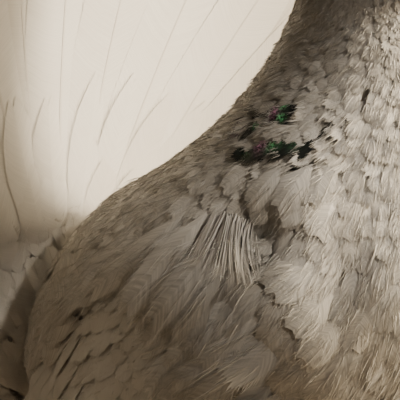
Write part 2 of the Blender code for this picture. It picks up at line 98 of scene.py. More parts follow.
FAN_ROOT = np.array((0.0, 0.0790, 0.1200))
FAN_LEAN = math.radians(6.0)
FAN_UP = np.array((0, -math.sin(FAN_LEAN), math.cos(FAN_LEAN)))
FAN_FRONT = np.array((0, -math.cos(FAN_LEAN), -math.sin(FAN_LEAN)))
FAN_RADIUS = 0.168
FAN_HALF_ANGLE = math.radians(93.0)
FAN_CUP = 0.026
FAN_FEATHERS = 30
PAD = (0.036, 0.013)

HIP = np.array((0.0270, 0.0060, 0.0900))
HOCK = np.array((0.0300, 0.0130, 0.0430))
ANKLE = np.array((0.0315, 0.0020, 0.0085))
LEG_RADII = (0.0200, 0.0165, 0.0105, 0.0070, 0.0056, 0.0050, 0.0056)
# The toes: heading in degrees from straight ahead, length and radius.
TOES = (
    (-27.0, 0.0255, 0.0030),
    (4.0, 0.0330, 0.0032),
    (36.0, 0.0265, 0.0030),
    (172.0, 0.0180, 0.0029),
)
BILL_LENGTH = 0.0185
BILL_DROP = 0.0052
NOSTRIL = (0.0085, 0.0018)
CREST_ROOT = np.array((0.0, -0.0570, 0.2680))
CREST_PEAK = np.array((0.0, -0.0440, 0.2920))

# The solids stand centred over the origin, so all places above move by this much.
eye_low, eye_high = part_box("eye_left")
SHIFT = (np.array(eye_low) + np.array(eye_high)) / 2 - EYE_PLACE
SHIFT[[0, 2]] = 0.0

# The photograph's view, in its frame of 400 x 400 pixels.
VIEW_AZIMUTH = math.radians(318.0)
VIEW_ELEVATION = math.radians(11.0)
VIEW_DISTANCE = 0.55
VIEW_WIDTH = 0.110
VIEW_TARGET = np.array((-0.030, -0.020, 0.185)) + SHIFT
PIXELS = 400
VIEW_MARGIN = 30.0
SENSOR = 36.0

# The lights: turn from the view's right towards the camera, height in degrees,
# distance and size in metres, watts and colour. A pool of light also has what it
# points at, the plumage at a pixel of the photograph or a place, and its angle in
# degrees.
LIGHTS = (
    ("key", 16.0, 17.0, 0.50, 0.18, 6.0, (1.0, 0.84, 0.60)),
    ("rear", -112.0, 22.0, 1.30, 1.00, 8.0, (1.0, 0.94, 0.86)),
    ("fan", 28.0, 17.0, 0.70, 0.04, 50.0, (1.0, 0.87, 0.68), (-0.0080, 0.0640, 0.2030), 16.0),
    ("neck", 60.0, 30.0, 0.60, 0.03, 25.0, (1.0, 0.90, 0.76), (342, 196), 6.2),
    ("shoulder", 40.0, 48.0, 0.60, 0.03, 9.0, (1.0, 0.93, 0.84), (244, 202), 5.8),
)

# Swellings and hollows of the plumage on each side of the neck and breast:
# station, turn in degrees, reach and height in millimetres.
RELIEF = (
    (8.25, 109.0, 9.0, 2.6),
    (8.15, 96.0, 8.0, 1.6),
    (8.90, 98.0, 7.5, -4.8),
    (9.18, 114.0, 15.0, 4.6),
    (8.62, 126.0, 6.0, -1.3),
    (8.88, 126.5, 6.0, -1.4),
    (9.14, 125.0, 6.0, -1.2),
    (8.95, 140.0, 13.0, 2.6),
    (9.75, 120.0, 14.0, 4.0),
    (9.35, 107.0, 9.0, 2.4),
)
# How deep the skin lies under the plumage's form, and its share by station.
COAT_DEPTH = 0.0026
SKIN_STATIONS, SKIN_SHARES = (0, 1.5, 6, 9), (0.15, 0.35, 0.7, 1.0)
# The size of one feather on the unwrap.
PATCH = 0.003
MOST_TRIANGLES = 190000
# The feathers' turn towards the back, and their distance apart, by station.
FLOW_STATIONS = (4.5, 5.5, 6.3, 7.0, 7.6, 8.2, 8.8, 9.3, 15.0)
FLOW_DEGREES = (0.0, 24.0, 44.0, 48.0, 42.0, 32.0, 18.0, 8.0, 8.0)
SPACING_STATIONS = (0.0, 1.0, 3.0, 5.0, 6.5, 8.0, 8.8, 9.6, 11.0, 13.0, 15.0)
SPACING_MM = (1.05, 1.2, 1.55, 2.1, 2.9, 3.7, 5.2, 6.6, 7.4, 7.6, 7.0)

# Dark feathers among the white ones on the right of the neck: place in the photograph and reach in
# millimetres;
# then their gleams, with green and purple: their own iridescent colours, made bright at fixed
# places as painted sheen.
DARK = (
    (252, 152, 3.2), (268, 149, 3.2), (284, 148, 3.0), (300, 147, 2.2),
    (262, 117, 2.6), (278, 113, 2.8), (246, 130, 2.4), (294, 112, 1.6),
)
GLEAMS = (
    (281, 143, 2.4, 1.0, 0.0), (254, 152, 2.6, 0.20, 0.0), (267, 145, 2.5, 0.0, 1.0),
    (299, 150, 1.8, 0.1, 0.0), (280, 115, 1.8, 0.0, 1.0), (288, 109, 1.1, 1.0, 0.0),
    (286, 121, 0.9, 0.9, 0.0), (262, 126, 1.3, 0.9, 0.0), (244, 130, 2.6, 0.0, 0.35),
)

# Single feathers that the photograph tells apart. Each row: root and tip in the
# photograph, half width, and height over the plumage at root, middle and tip, in mm.
MANTLE = (
    (262, 182, 230, 214, 4.6, 0.0, 1.4, 2.0), (290, 186, 250, 216, 5.4, 0.0, 1.8, 2.4),
    (318, 186, 280, 218, 5.6, 0.0, 2.0, 2.8), (340, 184, 318, 238, 6.2, 0.2, 1.5, 2.0),
    (362, 190, 342, 240, 5.0, 0.0, 1.2, 1.6), (262, 156, 224, 188, 4.4, 0.4, 2.0, 2.2),
    (286, 160, 246, 202, 5.4, 0.6, 2.6, 3.0), (314, 160, 276, 206, 5.6, 0.8, 3.0, 3.4),
    (338, 152, 312, 202, 4.8, 0.6, 2.6, 3.0), (242, 141, 205, 165, 4.0, 0.2, 1.2, 1.4),
    (222, 160, 188, 190, 4.6, 0.2, 1.2, 1.6), (206, 185, 172, 215, 5.0, 0.2, 1.2, 1.8),
)
SCAPULARS = (
    (182, 196, 66, 302, 6.6, 0.0, 1.0, 1.4), (196, 204, 92, 292, 6.0, 0.2, 1.4, 1.8),
    (214, 204, 128, 306, 7.6, 0.6, 2.4, 3.2), (232, 224, 150, 322, 7.2, 0.4, 2.2, 2.8),
    (236, 246, 172, 332, 6.6, 0.2, 1.6, 2.2), (150, 196, 48, 320, 6.4, 0.0, 0.8, 1.2),
    (128, 212, 40, 332, 6.6, 0.0, 0.9, 1.2), (112, 240, 34, 348, 6.2, 0.0, 0.8, 1.0),
)
PLUMES = (
    (216, 212, 192, 264, 2.2, 1.0, 3.2, 3.8), (225, 214, 206, 268, 2.4, 1.0, 3.4, 4.0),
    (233, 215, 222, 282, 2.6, 1.0, 3.4, 4.0), (241, 217, 237, 286, 2.6, 1.0, 3.4, 4.0),
    (249, 219, 250, 284, 2.4, 1.0, 3.2, 3.8), (256, 222, 261, 272, 2.2, 0.8, 2.8, 3.4),
)
BREAST = (
    (322, 262, 276, 296, 5.2, 0.2, 1.4, 1.6), (336, 286, 292, 332, 5.4, 0.2, 1.3, 1.6),
    (344, 314, 306, 362, 5.2, 0.2, 1.2, 1.5), (310, 262, 262, 288, 4.8, 0.2, 1.4, 1.6),
    (350, 180, 341, 206, 3.6, 0.1, 0.6, 0.8), (358, 272, 336, 320, 5.0, 0.1, 1.0, 1.2),
    (374, 298, 350, 350, 5.0, 0.1, 1.0, 1.2),
)
DARK_ROWS = (
    (304, 113, 272, 126, 2.0, 0.8, 1.8, 2.0), (296, 102, 264, 120, 2.8, 0.8, 2.0, 2.2),
    (268, 118, 240, 135, 2.4, 0.6, 1.5, 1.7), (286, 136, 244, 161, 3.2, 0.8, 2.4, 2.6),
    (306, 136, 270, 158, 3.0, 1.0, 2.8, 3.0), (320, 139, 290, 160, 2.4, 0.8, 2.5, 2.7),
    (324, 131, 304, 147, 1.3, 0.6, 1.5, 1.7), (340, 118, 322, 133, 1.0, 0.6, 1.4, 1.5),
    (352, 112, 340, 126, 0.8, 0.6, 1.2, 1.3),
)
WHITE_ROWS = (
    (300, 122, 264, 135, 2.2, 1.4, 2.9, 3.1), (312, 127, 284, 139, 2.2, 1.4, 2.6, 2.8),
    (320, 98, 299, 115, 2.0, 1.0, 2.0, 2.3), (322, 112, 298, 128, 2.2, 1.0, 2.2, 2.5),
)

# The width of a feather's blade by share of its shaft.
ROUND = (0.50, 0.86, 1.00, 1.00, 0.88, 0.58, 0.16)
LEAF = (0.55, 0.92, 1.00, 0.90, 0.70, 0.42, 0.10)
LOBE = (0.55, 0.90, 1.00, 1.00, 0.96, 0.80, 0.45)
BLADE = (0.35, 0.80, 0.96, 1.00, 1.00, 1.00, 1.00)
FLIGHT = (0.45, 0.80, 0.95, 1.00, 0.97, 0.90, 0.80)


def unit(vectors):
    """Vectors of length one along the last axis."""
    return vectors / np.maximum(np.linalg.norm(vectors, axis=-1, keepdims=True), 1e-12)


def stacked(*parts):
    """Numbers and arrays side by side along a new last axis."""
    return np.stack(np.broadcast_arrays(*parts), axis=-1)


def smoothstep(low, high, value):
    t = np.clip((value - low) / (high - low), 0.0, 1.0)
    return t * t * (3 - 2 * t)


def between(rows, s):
    """Smooth values at places s along rows of numbers, by a cubic through them."""
    s = np.clip(np.asarray(s, float), 0.0, len(rows) - 1.0)
    i = np.minimum(s.astype(int), len(rows) - 2)
    t = (s - i)[..., None]
    before, here = rows[np.maximum(i - 1, 0)], rows[i]
    after, beyond = rows[i + 1], rows[np.minimum(i + 2, len(rows) - 1)]
    first, last = (after - before) / 2, (beyond - here) / 2
    return (
        here + first * t
        + (3 * (after - here) - 2 * first - last) * t ** 2
        + (2 * (here - after) + first + last) * t ** 3
    )


def along_bend(through, t):
    """Points and headings at shares t of bends through three points."""
    start, middle, end = (through[..., k, :] for k in range(3))
    control = 2 * middle - (start + end) / 2
    spot = start * (1 - t) ** 2 + control * 2 * t * (1 - t) + end * t ** 2
    return spot, unit((control - start) * (1 - t) + (end - control) * t)


class Surface:
    """A smooth surface told by two numbers, s and q, kept as a fine grid."""

    def __init__(self, place, s_range, q_range, counts, outward, closed=False):
        self.low = np.array((s_range[0], q_range[0]))
        self.high = np.array((s_range[1], q_range[1]))
        self.counts = np.array(counts)
        self.closed = closed
        s = np.linspace(*s_range, counts[0])[:, None]
        q = np.linspace(*q_range, counts[1])[None, :]
        self.points = place(*np.broadcast_arrays(s, q))
        along = np.gradient(self.points, s[:, 0], axis=0)
        across = np.gradient(self.points, q[0], axis=1)
        if closed:
            across[:, 0] = across[:, -1] = (across[:, 0] + across[:, -1]) / 2
        normals = unit(np.cross(across, along))
        facing = np.sum(normals * outward(self.points), axis=-1, keepdims=True)
        normals *= np.sign(facing + 1e-9)
        self.table = np.concatenate([self.points, normals, along, across], axis=-1)

    def at(self, s, q):
        """Point, outward normal and the two directions of growth at s, q."""
        s, q = np.broadcast_arrays(np.asarray(s, float), np.asarray(q, float))
        if self.closed:
            q = self.low[1] + np.mod(q - self.low[1], self.high[1] - self.low[1])
        spot = (stacked(s, q) - self.low) / (self.high - self.low)
        spot = np.clip(spot, 0.0, 1.0) * (self.counts - 1)
        base = np.minimum(spot.astype(int), self.counts - 2)
        part = spot - base
        i, j = base[..., 0], base[..., 1]
        u, v = part[..., 0, None], part[..., 1, None]
        grid = self.table
        value = (
            grid[i, j] * (1 - u) * (1 - v) + grid[i + 1, j] * u * (1 - v)
            + grid[i, j + 1] * (1 - u) * v + grid[i + 1, j + 1] * u * v
        )
        return value[..., :3], unit(value[..., 3:6]), value[..., 6:9], value[..., 9:]


def body_place(s, turn):
    """A point of the body's surface."""
    row = between(STATIONS, s)
    dorsal = stacked(0.0, row[..., 0], row[..., 1])
    ventral = stacked(0.0, row[..., 2], row[..., 3])
    rise, side = (dorsal - ventral) / 2, stacked(row[..., 4], 0.0, 0.0)
    centre = (dorsal + ventral) / 2
    return centre + rise * np.cos(turn)[..., None] + side * np.sin(turn)[..., None] + SHIFT


def body_outward(points):
    stations = np.linspace(0, BODY_END, len(points))
    back = body_place(stations, np.zeros(len(points)))
    belly = body_place(stations, np.full(len(points), math.pi))
    return points - ((back + belly) / 2)[:, None]


def body_surface(place):
    return Surface(place, (0.0, BODY_END), (0.0, FULL_TURN), GRID, body_outward, True)


BODY = body_surface(body_place)


def relief(points):
    """Height of the plumage's swellings and hollows at points."""
    height = np.zeros(points.shape[:-1])
    folded = points * (np.sign(points[..., :1]) * (1, 0, 0) + (0, 1, 1))
    for s, turn, reach, high in RELIEF:
        centre = body_place(np.array(s), np.array(math.radians(turn)))
        far = np.linalg.norm(folded - centre, axis=-1) / (reach / 1000)
        height += high / 1000 * np.exp(-far ** 2)
    return height


def coat_place(s, turn):
    """A point of the plumage's form, with its swellings and hollows."""
    point, normal, _, _ = BODY.at(s, turn)
    return point + normal * relief(point)[..., None]


COAT = body_surface(coat_place)


def wing_axes(side):
    """The wing's root, direction along it, across it and outwards."""
    along = unit(np.array((-side * WING_IN, math.cos(WING_DROP), -math.sin(WING_DROP))))
    across = np.array((-side * WING_LEAN, math.sin(WING_DROP), math.cos(WING_DROP)))
    across = unit(across - along * across.dot(along))
    root = WING_ROOT * (side, 1, 1) + SHIFT
    return root, along, across, np.cross(along, across) * side


def wing_row(u):
    """Middle, half width, height and depth of the wing at distances u."""
    reach = WING[:, 0]
    return between(WING, np.interp(u, reach, np.arange(len(reach))))[..., 1:]


def wing_fall(share):
    """Share of the wing's height that is left at a share of its half width."""
    return np.cos(math.pi / 2 * np.abs(share) / EDGE_REACH)


def wing_top(u, v):
    """Height of the wing's outer side at a place along and across it."""
    row = wing_row(u)
    return row[..., 2] * wing_fall(np.clip(np.abs(v - row[..., 0]) / row[..., 1], 0.0, 1.0))


def in_wing(points, side):
    """The points as distances along, across and outwards of a wing, and its row there."""
    root, along, across, outward = wing_axes(side)
    away = points - root
    u = away @ along
    return u, away @ across, away @ outward, wing_row(np.clip(u, 0.0, WING_LENGTH))


def over_wing(points):
    """How far points must rise to clear the wings' feathers, in metres."""
    lift = np.zeros(points.shape[:-1])
    for side in (1, -1):
        u, v, w, row = in_wing(points, side)
        share = np.abs(v - row[..., 0]) / (row[..., 1] + 0.003)
        inside = smoothstep(1.15, 0.85, share) * smoothstep(-0.007, 0.004, u)
        inside *= smoothstep(0.20, 0.17, u) * (np.sign(points[..., 0]) == side)
        inside *= smoothstep(-0.022, -0.014, w)
        top = wing_top(np.clip(u, 0, WING_LENGTH), v)
        lift = np.maximum(lift, inside * (top + WING_COVER - w))
    return np.maximum(lift, 0.0)


def under_wing(points, margin):
    """Whether points lie hidden beneath a wing, further in than margin."""
    hidden = np.zeros(points.shape[:-1], bool)
    for side in (1, -1):
        u, v, w, row = in_wing(points, side)
        near = (np.abs(v - row[..., 0]) < row[..., 1] - margin) & (w > -0.016)
        near &= (u > margin * 1.3) & (u < 0.16) & (np.sign(points[..., 0]) == side)
        hidden |= near
    return hidden


class Vane:
    """The mesh of one feather, before it is bent and placed.

    barbs is their count on each side, held the places along a barb where its
    neighbours still hold it, outline the blade's width by share of the shaft, bare
    the shaft's bare share, sweep how far the barbs lean forward, split whether
    each barb ends in two points, and tip the share that is rounded off.
    """

    def __init__(self, barbs, held, outline=ROUND, bare=0.08, sweep=0.24, split=True, tip=0.0):
        self.barbs, self.outline, self.bare, self.sweep = barbs, outline, bare, sweep
        self.tip = tip
        columns = (0.0, *held)
        wide, last = len(columns), columns[-1]
        ends = ((0.30, 0.35, 1), (0.68, 0.35, 1), (0.5, 1.0, 2)) if split else ((0.5, 1.0, 2),)
        rows, faces = [], []
        for side in (-1, 1):
            first, found = len(rows), []
            for k in range(barbs + 1):
                rows += [(k / barbs, place, side, 0, min(k, barbs - 1)) for place in columns]
            for k in range(barbs):
                low = first + k * wide + wide - 1
                high, end = low + wide, len(rows)
                for a in range(low - wide + 1, low):
                    found += [(a, a + 1, a + 1 + wide), (a, a + 1 + wide, a + wide)]
                rows += [((k + share) / barbs, last + (1 - last) * far, side, kind, k)
                         for share, far, kind in ends]
                if split:
                    found += [(low, end, end + 1), (low, end + 1, high), (end, end + 2, end + 1)]
                else:
                    found.append((low, end, high))
            faces += [face[::-side] for face in found]
        self.q, self.x, self.way = np.array(rows).T[:3]
        self.kind, self.barb = np.array(rows).T[3:].astype(int)
        self.faces = np.array(faces)

    def shape(self, rng, count, ragged, lopsided):
        """Share along the shaft and across the blade for count feathers' points."""
        slot = self.barb + self.barbs * (self.way > 0)
        reach = 1 + ragged * rng.uniform(-1.0, 0.6, (count, 2 * self.barbs))
        swing = ragged * rng.normal(0, 1.6, (count, 2 * self.barbs)) / self.barbs
        gather = rng.uniform(0, FULL_TURN, (count, 1))
        swing += ragged * 0.9 * np.sin(gather + np.arange(2 * self.barbs) * 1.15) / self.barbs
        free = np.array((0.0, 0.5, 1.0))[self.kind]
        q = self.q + swing[:, slot] * free
        x = self.x * (1 + (reach[:, slot] - 1) * free)
        spread = np.interp(q, np.linspace(0, 1, len(self.outline)), self.outline)
        if self.tip:
            spread = spread * np.sqrt(1 - np.clip((q - 1 + self.tip) / self.tip, 0, 0.99) ** 2)
        root = self.bare + (0.975 - self.bare) * q
        far = root + self.sweep * (1 - 0.72 * q ** 2)
        along = root + (far - root) * np.maximum(x, 0) ** 1.25
        across = self.way * spread * (1 + self.way * lopsided) * np.maximum(x, 0) ** 0.92
        return along, across, q, x


# The plumage's kinds: name, stations, feathers out of the photograph's view and in it,
# overlap, breadth, loose barbs to a feather and their reach, roll in degrees, looseness.
COAT_KINDS = (
    ("head", 0.06, 5.6, Vane(6, (0.6,), LEAF), Vane(6, (0.6,), LEAF), 2.7, 0.84, 4, 0.36, 3.0,
     0.3),
    ("neck", 5.6, 8.0, Vane(9, (0.6,), sweep=0.34),
     Vane(13, (0.34, 0.62), sweep=0.40), 2.55, 0.82, 18, 0.44, 6.5, 0.5),
    ("shoulder", 8.0, 10.2, Vane(15, (0.62,), sweep=0.34),
     Vane(20, (0.34, 0.62), sweep=0.40), 2.9, 0.90, 24, 0.36, 3.5, 0.3),
    ("trunk", 10.2, 14.9, Vane(17, (0.64,), sweep=0.34),
     Vane(20, (0.35, 0.64), sweep=0.34), 2.5, 0.84, 14, 0.36, 6.0, 0.4),
)
# Where the photograph shows the neck's feathers stand up most, and how far around.
RAISED_PIXEL, RAISED_REACH = (328, 116), 0.014
# How much broader the feathers out of view are.
FAR_BREADTH = 1.18
# A feather that a wing stretches more than this is left out.
MOST_STRETCH = 1.35
# How far under a wing the body's feathers reach.
WING_MARGIN = 0.014
# Shares of a feather that are tried in turn where it would cover an eye.
KEPT_SHARES = ((0, 0.8), (0, 0.65), (0, 0.5), (0, 0.35), (0.2, 1), (0.4, 1), (0.6, 1))
# Where the soft feathers' barbs still hold together.
SOFT = (0.36, 0.66)
# The wing's coverts: stations, distance apart, feather, overlap and height.
COVERT_TIERS = (
    (0.20, 1.30, 0.0048, Vane(14, (0.4, 0.72)), 2.5, 0.0014),
    (1.30, 2.35, 0.0066, Vane(20, (0.4, 0.76)), 2.5, 0.0018),
    (2.35, 2.95, 0.0086, Vane(26, (0.4, 0.80)), 2.7, 0.0024),
    (2.95, 3.20, 0.0100, Vane(40, (0.4, 0.88), BLADE, tip=0.24), 3.1, 0.0030),
)
# The fan's coverts: face, radius of their roots, count, length and half width.
FAN_COVERTS = (
    (1, 0.030, 17, 0.058, 0.0085), (1, 0.022, 15, 0.044, 0.0080), (1, 0.016, 13, 0.030, 0.0070),
    (-1, 0.026, 21, 0.060, 0.0090), (-1, 0.020, 17, 0.046, 0.0085),
)
# The leg's feathers: stations, distance apart, length and feather.
LEG_TIERS = (
    (0.25, 2.3, 0.0058, 0.0140, Vane(16, SOFT, sweep=0.34)),
    (2.3, 3.3, 0.0046, 0.0125, Vane(14, SOFT, sweep=0.34)),
    (3.3, 5.9, 0.0041, 0.0105, Vane(12, (0.5,), sweep=0.34)),
)
# The foot's long feathers: count, length and height of their roots.
MUFF_TIERS = ((13, 0.0405, 0.0100), (12, 0.0330, 0.0140), (11, 0.0255, 0.0200),
              (10, 0.0180, 0.0260))
# The crest's rings: count, size, height and share of the way to the peak.
CREST_TIERS = ((18, 1.0, 0.0, 0.90), (16, 0.78, 0.001, 1.0), (12, 0.5, 0.002, 0.94))
# The lids' section: angle from the opening's edge and size by the eye's.
LID_STEPS = (
    (-0.06, 0.985), (-0.02, 1.035), (0.05, 1.075), (0.14, 1.085), (0.24, 1.055),
    (0.34, 1.075), (0.48, 1.06), (0.66, 1.0), (0.9, 0.90),
)


class Strand:
    """The mesh of one loose barb: a flat blade that ends in a point."""

    barbs = 1

    def __init__(self, parts=3, reach=1.0):
        self.q = np.append(np.repeat(np.arange(parts) / parts, 2), 1.0) * reach
        self.way = np.append(np.tile((-1.0, 1.0), parts), 0.0)
        faces = []
        for a in range(0, 2 * parts - 2, 2):
            faces += [(a, a + 2, a + 3), (a, a + 3, a + 1)]
        self.faces = np.array([*faces, (2 * parts - 2, 2 * parts, 2 * parts - 1)])
        self.kind = np.zeros(len(self.q), int)
        self.kind[-1] = 2

    def shape(self, rng, count, ragged, lopsided):
        along = np.broadcast_to(self.q, (count, len(self.q)))
        return along, self.way * (1 - 0.75 * along), along, np.abs(self.way) + 0 * along


def grow(vane, rng, through, normals, widths, roots, camber=0.0, ragged=0.12, flutter=0.0,
         tint=None, lopsided=0.0):
    """A mesh of feathers, each along a bend through three points.

    through is (feathers, 3, 3), normals the same, widths half widths in metres, and
    roots each feather's place on the skin's unwrap. camber bends the blade, ragged
    frays it, flutter waves it and lopsided widens its side towards +1.
    """
    count, size = len(through), len(vane.q)
    along, across, q, x = vane.shape(rng, count, ragged, lopsided)
    t = along[..., None]
    spot, heading = along_bend(through[:, None], t)
    facing = normals[:, None, 0] * (1 - t) ** 2 + normals[:, None, 1] * 2 * t * (1 - t)
    facing = unit(facing + normals[:, None, 2] * t ** 2)
    sideways = unit(np.cross(heading, facing))
    facing = np.cross(sideways, heading)
    wide = np.broadcast_to(widths, count)[:, None]
    offset = across * wide
    rise = -camber * offset ** 2
    if flutter:
        phase = rng.uniform(0, FULL_TURN, (count, 2, 1))
        wave = np.sin(phase[:, 0] + along * 6.0) * across ** 2
        wave += 0.8 * np.sin(phase[:, 1] + along * 3.0) * across
        rise = rise + flutter * wave * wide
        free = (vane.kind == 2) * rng.normal(0, 1, (count, size))
        rise = rise + flutter * 0.35 * free * wide
    rise = rise + 0.00004 * (x < 0.01)
    points = spot + sideways * offset[..., None] + facing * rise[..., None]
    if tint is None:
        tint = rng.uniform(0, 1, count)
    patch = stacked(across / 2.2, np.clip(along, 0, 1.1) - 0.5) * PATCH
    faces = vane.faces[None] + (np.arange(count) * size)[:, None, None]
    return {
        "points": points.reshape(-1, 3),
        "faces": faces.reshape(-1, 3),
        "bake": (roots[:, None] + patch).reshape(-1, 2),
        "barb": stacked(q * vane.barbs, x).reshape(-1, 2),
        "tint": np.repeat(tint, size),
    }


def fringe(rng, through, normals, widths, roots, per_feather, reach=0.30):
    """Loose barbs that trail from the outer halves of feathers."""
    pick = np.repeat(np.arange(len(through)), per_feather)
    count = len(pick)
    wide = np.broadcast_to(widths, len(through))[pick]
    bends, facing = through[pick], normals[pick, 1]
    length = np.linalg.norm(bends[:, 2] - bends[:, 0], axis=1)

    def on_feather(t, x):
        spot, heading = along_bend(bends, t[:, None])
        return spot + unit(np.cross(heading, facing)) * (x * wide)[:, None]

    t = rng.uniform(0.40, 0.92, count)
    x = rng.uniform(-0.9, 0.9, count) * np.sqrt(1 - t ** 3)
    far = t + reach * rng.uniform(0.55, 1.25, count)
    out = x * rng.uniform(0.9, 1.25, count) + rng.normal(0, 0.10, count)
    first = on_feather(t, x) + facing * (0.00008 + 0.002 * length)[:, None]
    second = on_feather((t + far) / 2, (x + out) / 2 + np.sign(x) * 0.05)
    second = second + facing * (length * rng.uniform(0.005, 0.020, count) + 0.0001)[:, None]
    third = on_feather(far, out) + facing * (length * rng.normal(0.018, 0.022, count))[:, None]
    paths = np.stack([first, second, third], axis=1)
    return grow(Strand(), rng, paths, tilted(paths, normals[pick], rng.normal(0, 35, count)),
                0.00011 * rng.uniform(0.7, 1.2, count), roots[pick])


def shafts(rng, through, normals, roots, thick, lift=0.00016):
    """The shafts of long feathers, on both faces."""
    return [
        grow(Strand(12, 0.955), rng, through + normals * way * lift, normals * way, thick, roots,
             tint=np.full(len(through), 1.7))
        for way in (1, -1)
    ]


def add_piece(name, mesh, finish, nodes=()):
    """A smooth piece of the model in place of the solids of some nodes."""
    mesh.shade_smooth()
    mesh.materials.append(finish)
    obj = bpy.data.objects.new(name, mesh)
    bpy.context.scene.collection.objects.link(obj)
    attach(obj, "root")
    if nodes:
        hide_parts(*nodes)


def coat_piece(name, batches, finish, nodes=(), marks=None):
    """A piece of the plumage from its batches of feathers."""
    starts = np.cumsum([0] + [len(batch["points"]) for batch in batches])
    faces = np.concatenate([b["faces"] + start for b, start in zip(batches, starts)])
    data = {key: np.concatenate([batch[key] for batch in batches])
            for key in ("points", "bake", "barb", "tint")}
    mesh = bpy.data.meshes.new(name)
    mesh.vertices.add(len(data["points"]))
    mesh.vertices.foreach_set("co", data["points"].astype(np.float32).ravel())
    flat = faces.astype(np.int32).ravel()
    mesh.loops.add(len(flat))
    mesh.loops.foreach_set("vertex_index", flat)
    mesh.polygons.add(len(faces))
    mesh.polygons.foreach_set("loop_start", np.arange(0, len(flat), 3, dtype=np.int32))
    mesh.polygons.foreach_set("loop_total", np.full(len(faces), 3, np.int32))
    mesh.update()
    for layer, key in (("OFBake", "bake"), ("Barb", "barb")):
        uv = mesh.uv_layers.new(name=layer)
        uv.data.foreach_set("uv", data[key][flat].astype(np.float32).ravel())
    kept = {"tint": data["tint"], **(marks(data["points"]) if marks else {})}
    for key, values in kept.items():
        held = mesh.attributes.new(key, "FLOAT", "POINT")
        held.data.foreach_set("value", values.astype(np.float32))
    mesh.uv_layers["OFBake"].active_render = True
    add_piece(name, mesh, finish, nodes)


def skin_piece(name, tubes, finish, nodes=(), mark=None):
    """Closed smooth skins, each over rings of points and capped at both ends."""
    points, faces = [], []
    for rings in tubes:
        rings = np.asarray(rings)
        sides, base = rings.shape[1], len(points)
        points += rings.reshape(-1, 3).tolist()
        for a in range(base, len(points) - sides):
            b = a + 1 if (a + 1 - base) % sides else a + 1 - sides
            faces.append((a, b, b + sides, a + sides))
        faces.append(tuple(range(base, base + sides))[::-1])
        faces.append(tuple(range(len(points) - sides, len(points))))
    mesh = bpy.data.meshes.new(name)
    mesh.from_pydata(points, [], faces)
    mesh.validate()
    if mark is not None:
        held = mesh.attributes.new("mark", "FLOAT", "POINT")
        held.data.foreach_set("value", np.asarray(mark, np.float32).ravel())
    add_piece(name, mesh, finish, nodes)


def marched(surface, s, q, length, direction, lifts, clear=None):
    """Three points and normals of feathers that follow a surface from s, q.

    direction(s, q) gives the turn from the surface's own growth, towards rising q.
    """
    points, normals = [], []
    for step, rise in enumerate(lifts):
        point, normal, along, across = surface.at(s, q)
        if clear:
            rise = rise + clear(point)
        points.append(point + normal * np.asarray(rise)[..., None])
        normals.append(normal)
        if step < 2:
            turn = direction(s, q)
            grown, aside = np.linalg.norm(along, axis=-1), np.linalg.norm(across, axis=-1)
            skew = np.sum(unit(along) * unit(across), axis=-1)
            part = np.sin(turn) / np.sqrt(np.maximum(1 - skew ** 2, 0.2))
            s = s + length / 2 * (np.cos(turn) - part * skew) / np.maximum(grown, 1e-5)
            q = q + length / 2 * part / np.maximum(aside, 1e-5)
    return np.stack(points, axis=1), np.stack(normals, axis=1)


def straight(s, q):
    """The direction of feathers that follow their surface's own growth."""
    return 0 * s


def tilted(through, normals, degrees):
    """The normals turned about each feather's length."""
    axis = unit(through[:, 2] - through[:, 0])[:, None]
    turn = np.radians(degrees)
    turn = turn[:, None, None] if np.ndim(turn) else turn
    return normals * np.cos(turn) + np.cross(axis, normals) * np.sin(turn)


def rows_on(surface, rng, s_range, q_range, spacing, aspect=1.0, jitter=0.10):
    """Staggered places on a surface, spacing(s) apart, with the distance between them."""
    places = []
    s, odd = s_range[0], 0
    while s < s_range[1]:
        gap = spacing(s)
        q = np.linspace(*q_range, 241)
        ring = surface.at(s, q)[0]
        run = np.concatenate([[0], np.cumsum(np.linalg.norm(np.diff(ring, axis=0), axis=1))])
        count = max(int(round(run[-1] / (gap * aspect))), 3)
        wanted = (np.arange(count) + 0.5 * (odd % 2) + 0.25) / count * run[-1]
        wanted = wanted[wanted < run[-1]]
        wanted += rng.uniform(-jitter, jitter, len(wanted)) * gap
        there = np.interp(wanted, run, q)
        step = np.linalg.norm(surface.at(s, there)[2], axis=-1)
        mean = float(np.median(step))
        shifted = s + rng.uniform(-jitter, jitter, len(there)) * gap / mean
        places.append(stacked(shifted, there, step * gap / mean))
        s += gap / mean
        odd += 1
    return np.concatenate(places)


def scattered(surface, rng, s_range, q_range, spacing, tries=26000):
    """Places on a surface, evenly strewn and at least spacing(s) apart."""
    s, q = rng.uniform(*s_range, tries), rng.uniform(*q_range, tries)
    point, _, along, across = surface.at(s, q)
    area = np.linalg.norm(np.cross(along, across), axis=-1)
    kept, cells = [], {}
    size = max(spacing(s_range[0]), spacing(s_range[1]))
    for k in np.flatnonzero(rng.uniform(0, area.max(), tries) < area):
        gap = spacing(s[k])
        cell = tuple(np.floor(point[k] / size).astype(int))
        near = [
            m for i in (-1, 0, 1) for j in (-1, 0, 1) for h in (-1, 0, 1)
            for m in cells.get((cell[0] + i, cell[1] + j, cell[2] + h), ())
        ]
        if near and np.min(np.linalg.norm(point[near] - point[k], axis=1)) < 0.80 * gap:
            continue
        cells.setdefault(cell, []).append(k)
        kept.append((s[k], q[k], gap))
    return np.array(kept)


def body_flow(s, turn):
    """Turn of the feathers from the body's own growth, towards the back on the sides."""
    share = np.abs(np.mod(turn + math.pi, FULL_TURN) - math.pi) / math.pi
    side = smoothstep(0.05, 0.25, share) * smoothstep(0.80, 0.45, share)
    breast = smoothstep(0.50, 0.65, share) * smoothstep(0.98, 0.85, share)
    amount = np.interp(s, FLOW_STATIONS, FLOW_DEGREES) * side
    amount = amount + 12.0 * smoothstep(8.8, 9.3, s) * breast
    return np.radians(amount) * np.where(np.mod(turn, FULL_TURN) > math.pi, 1.0, -1.0)


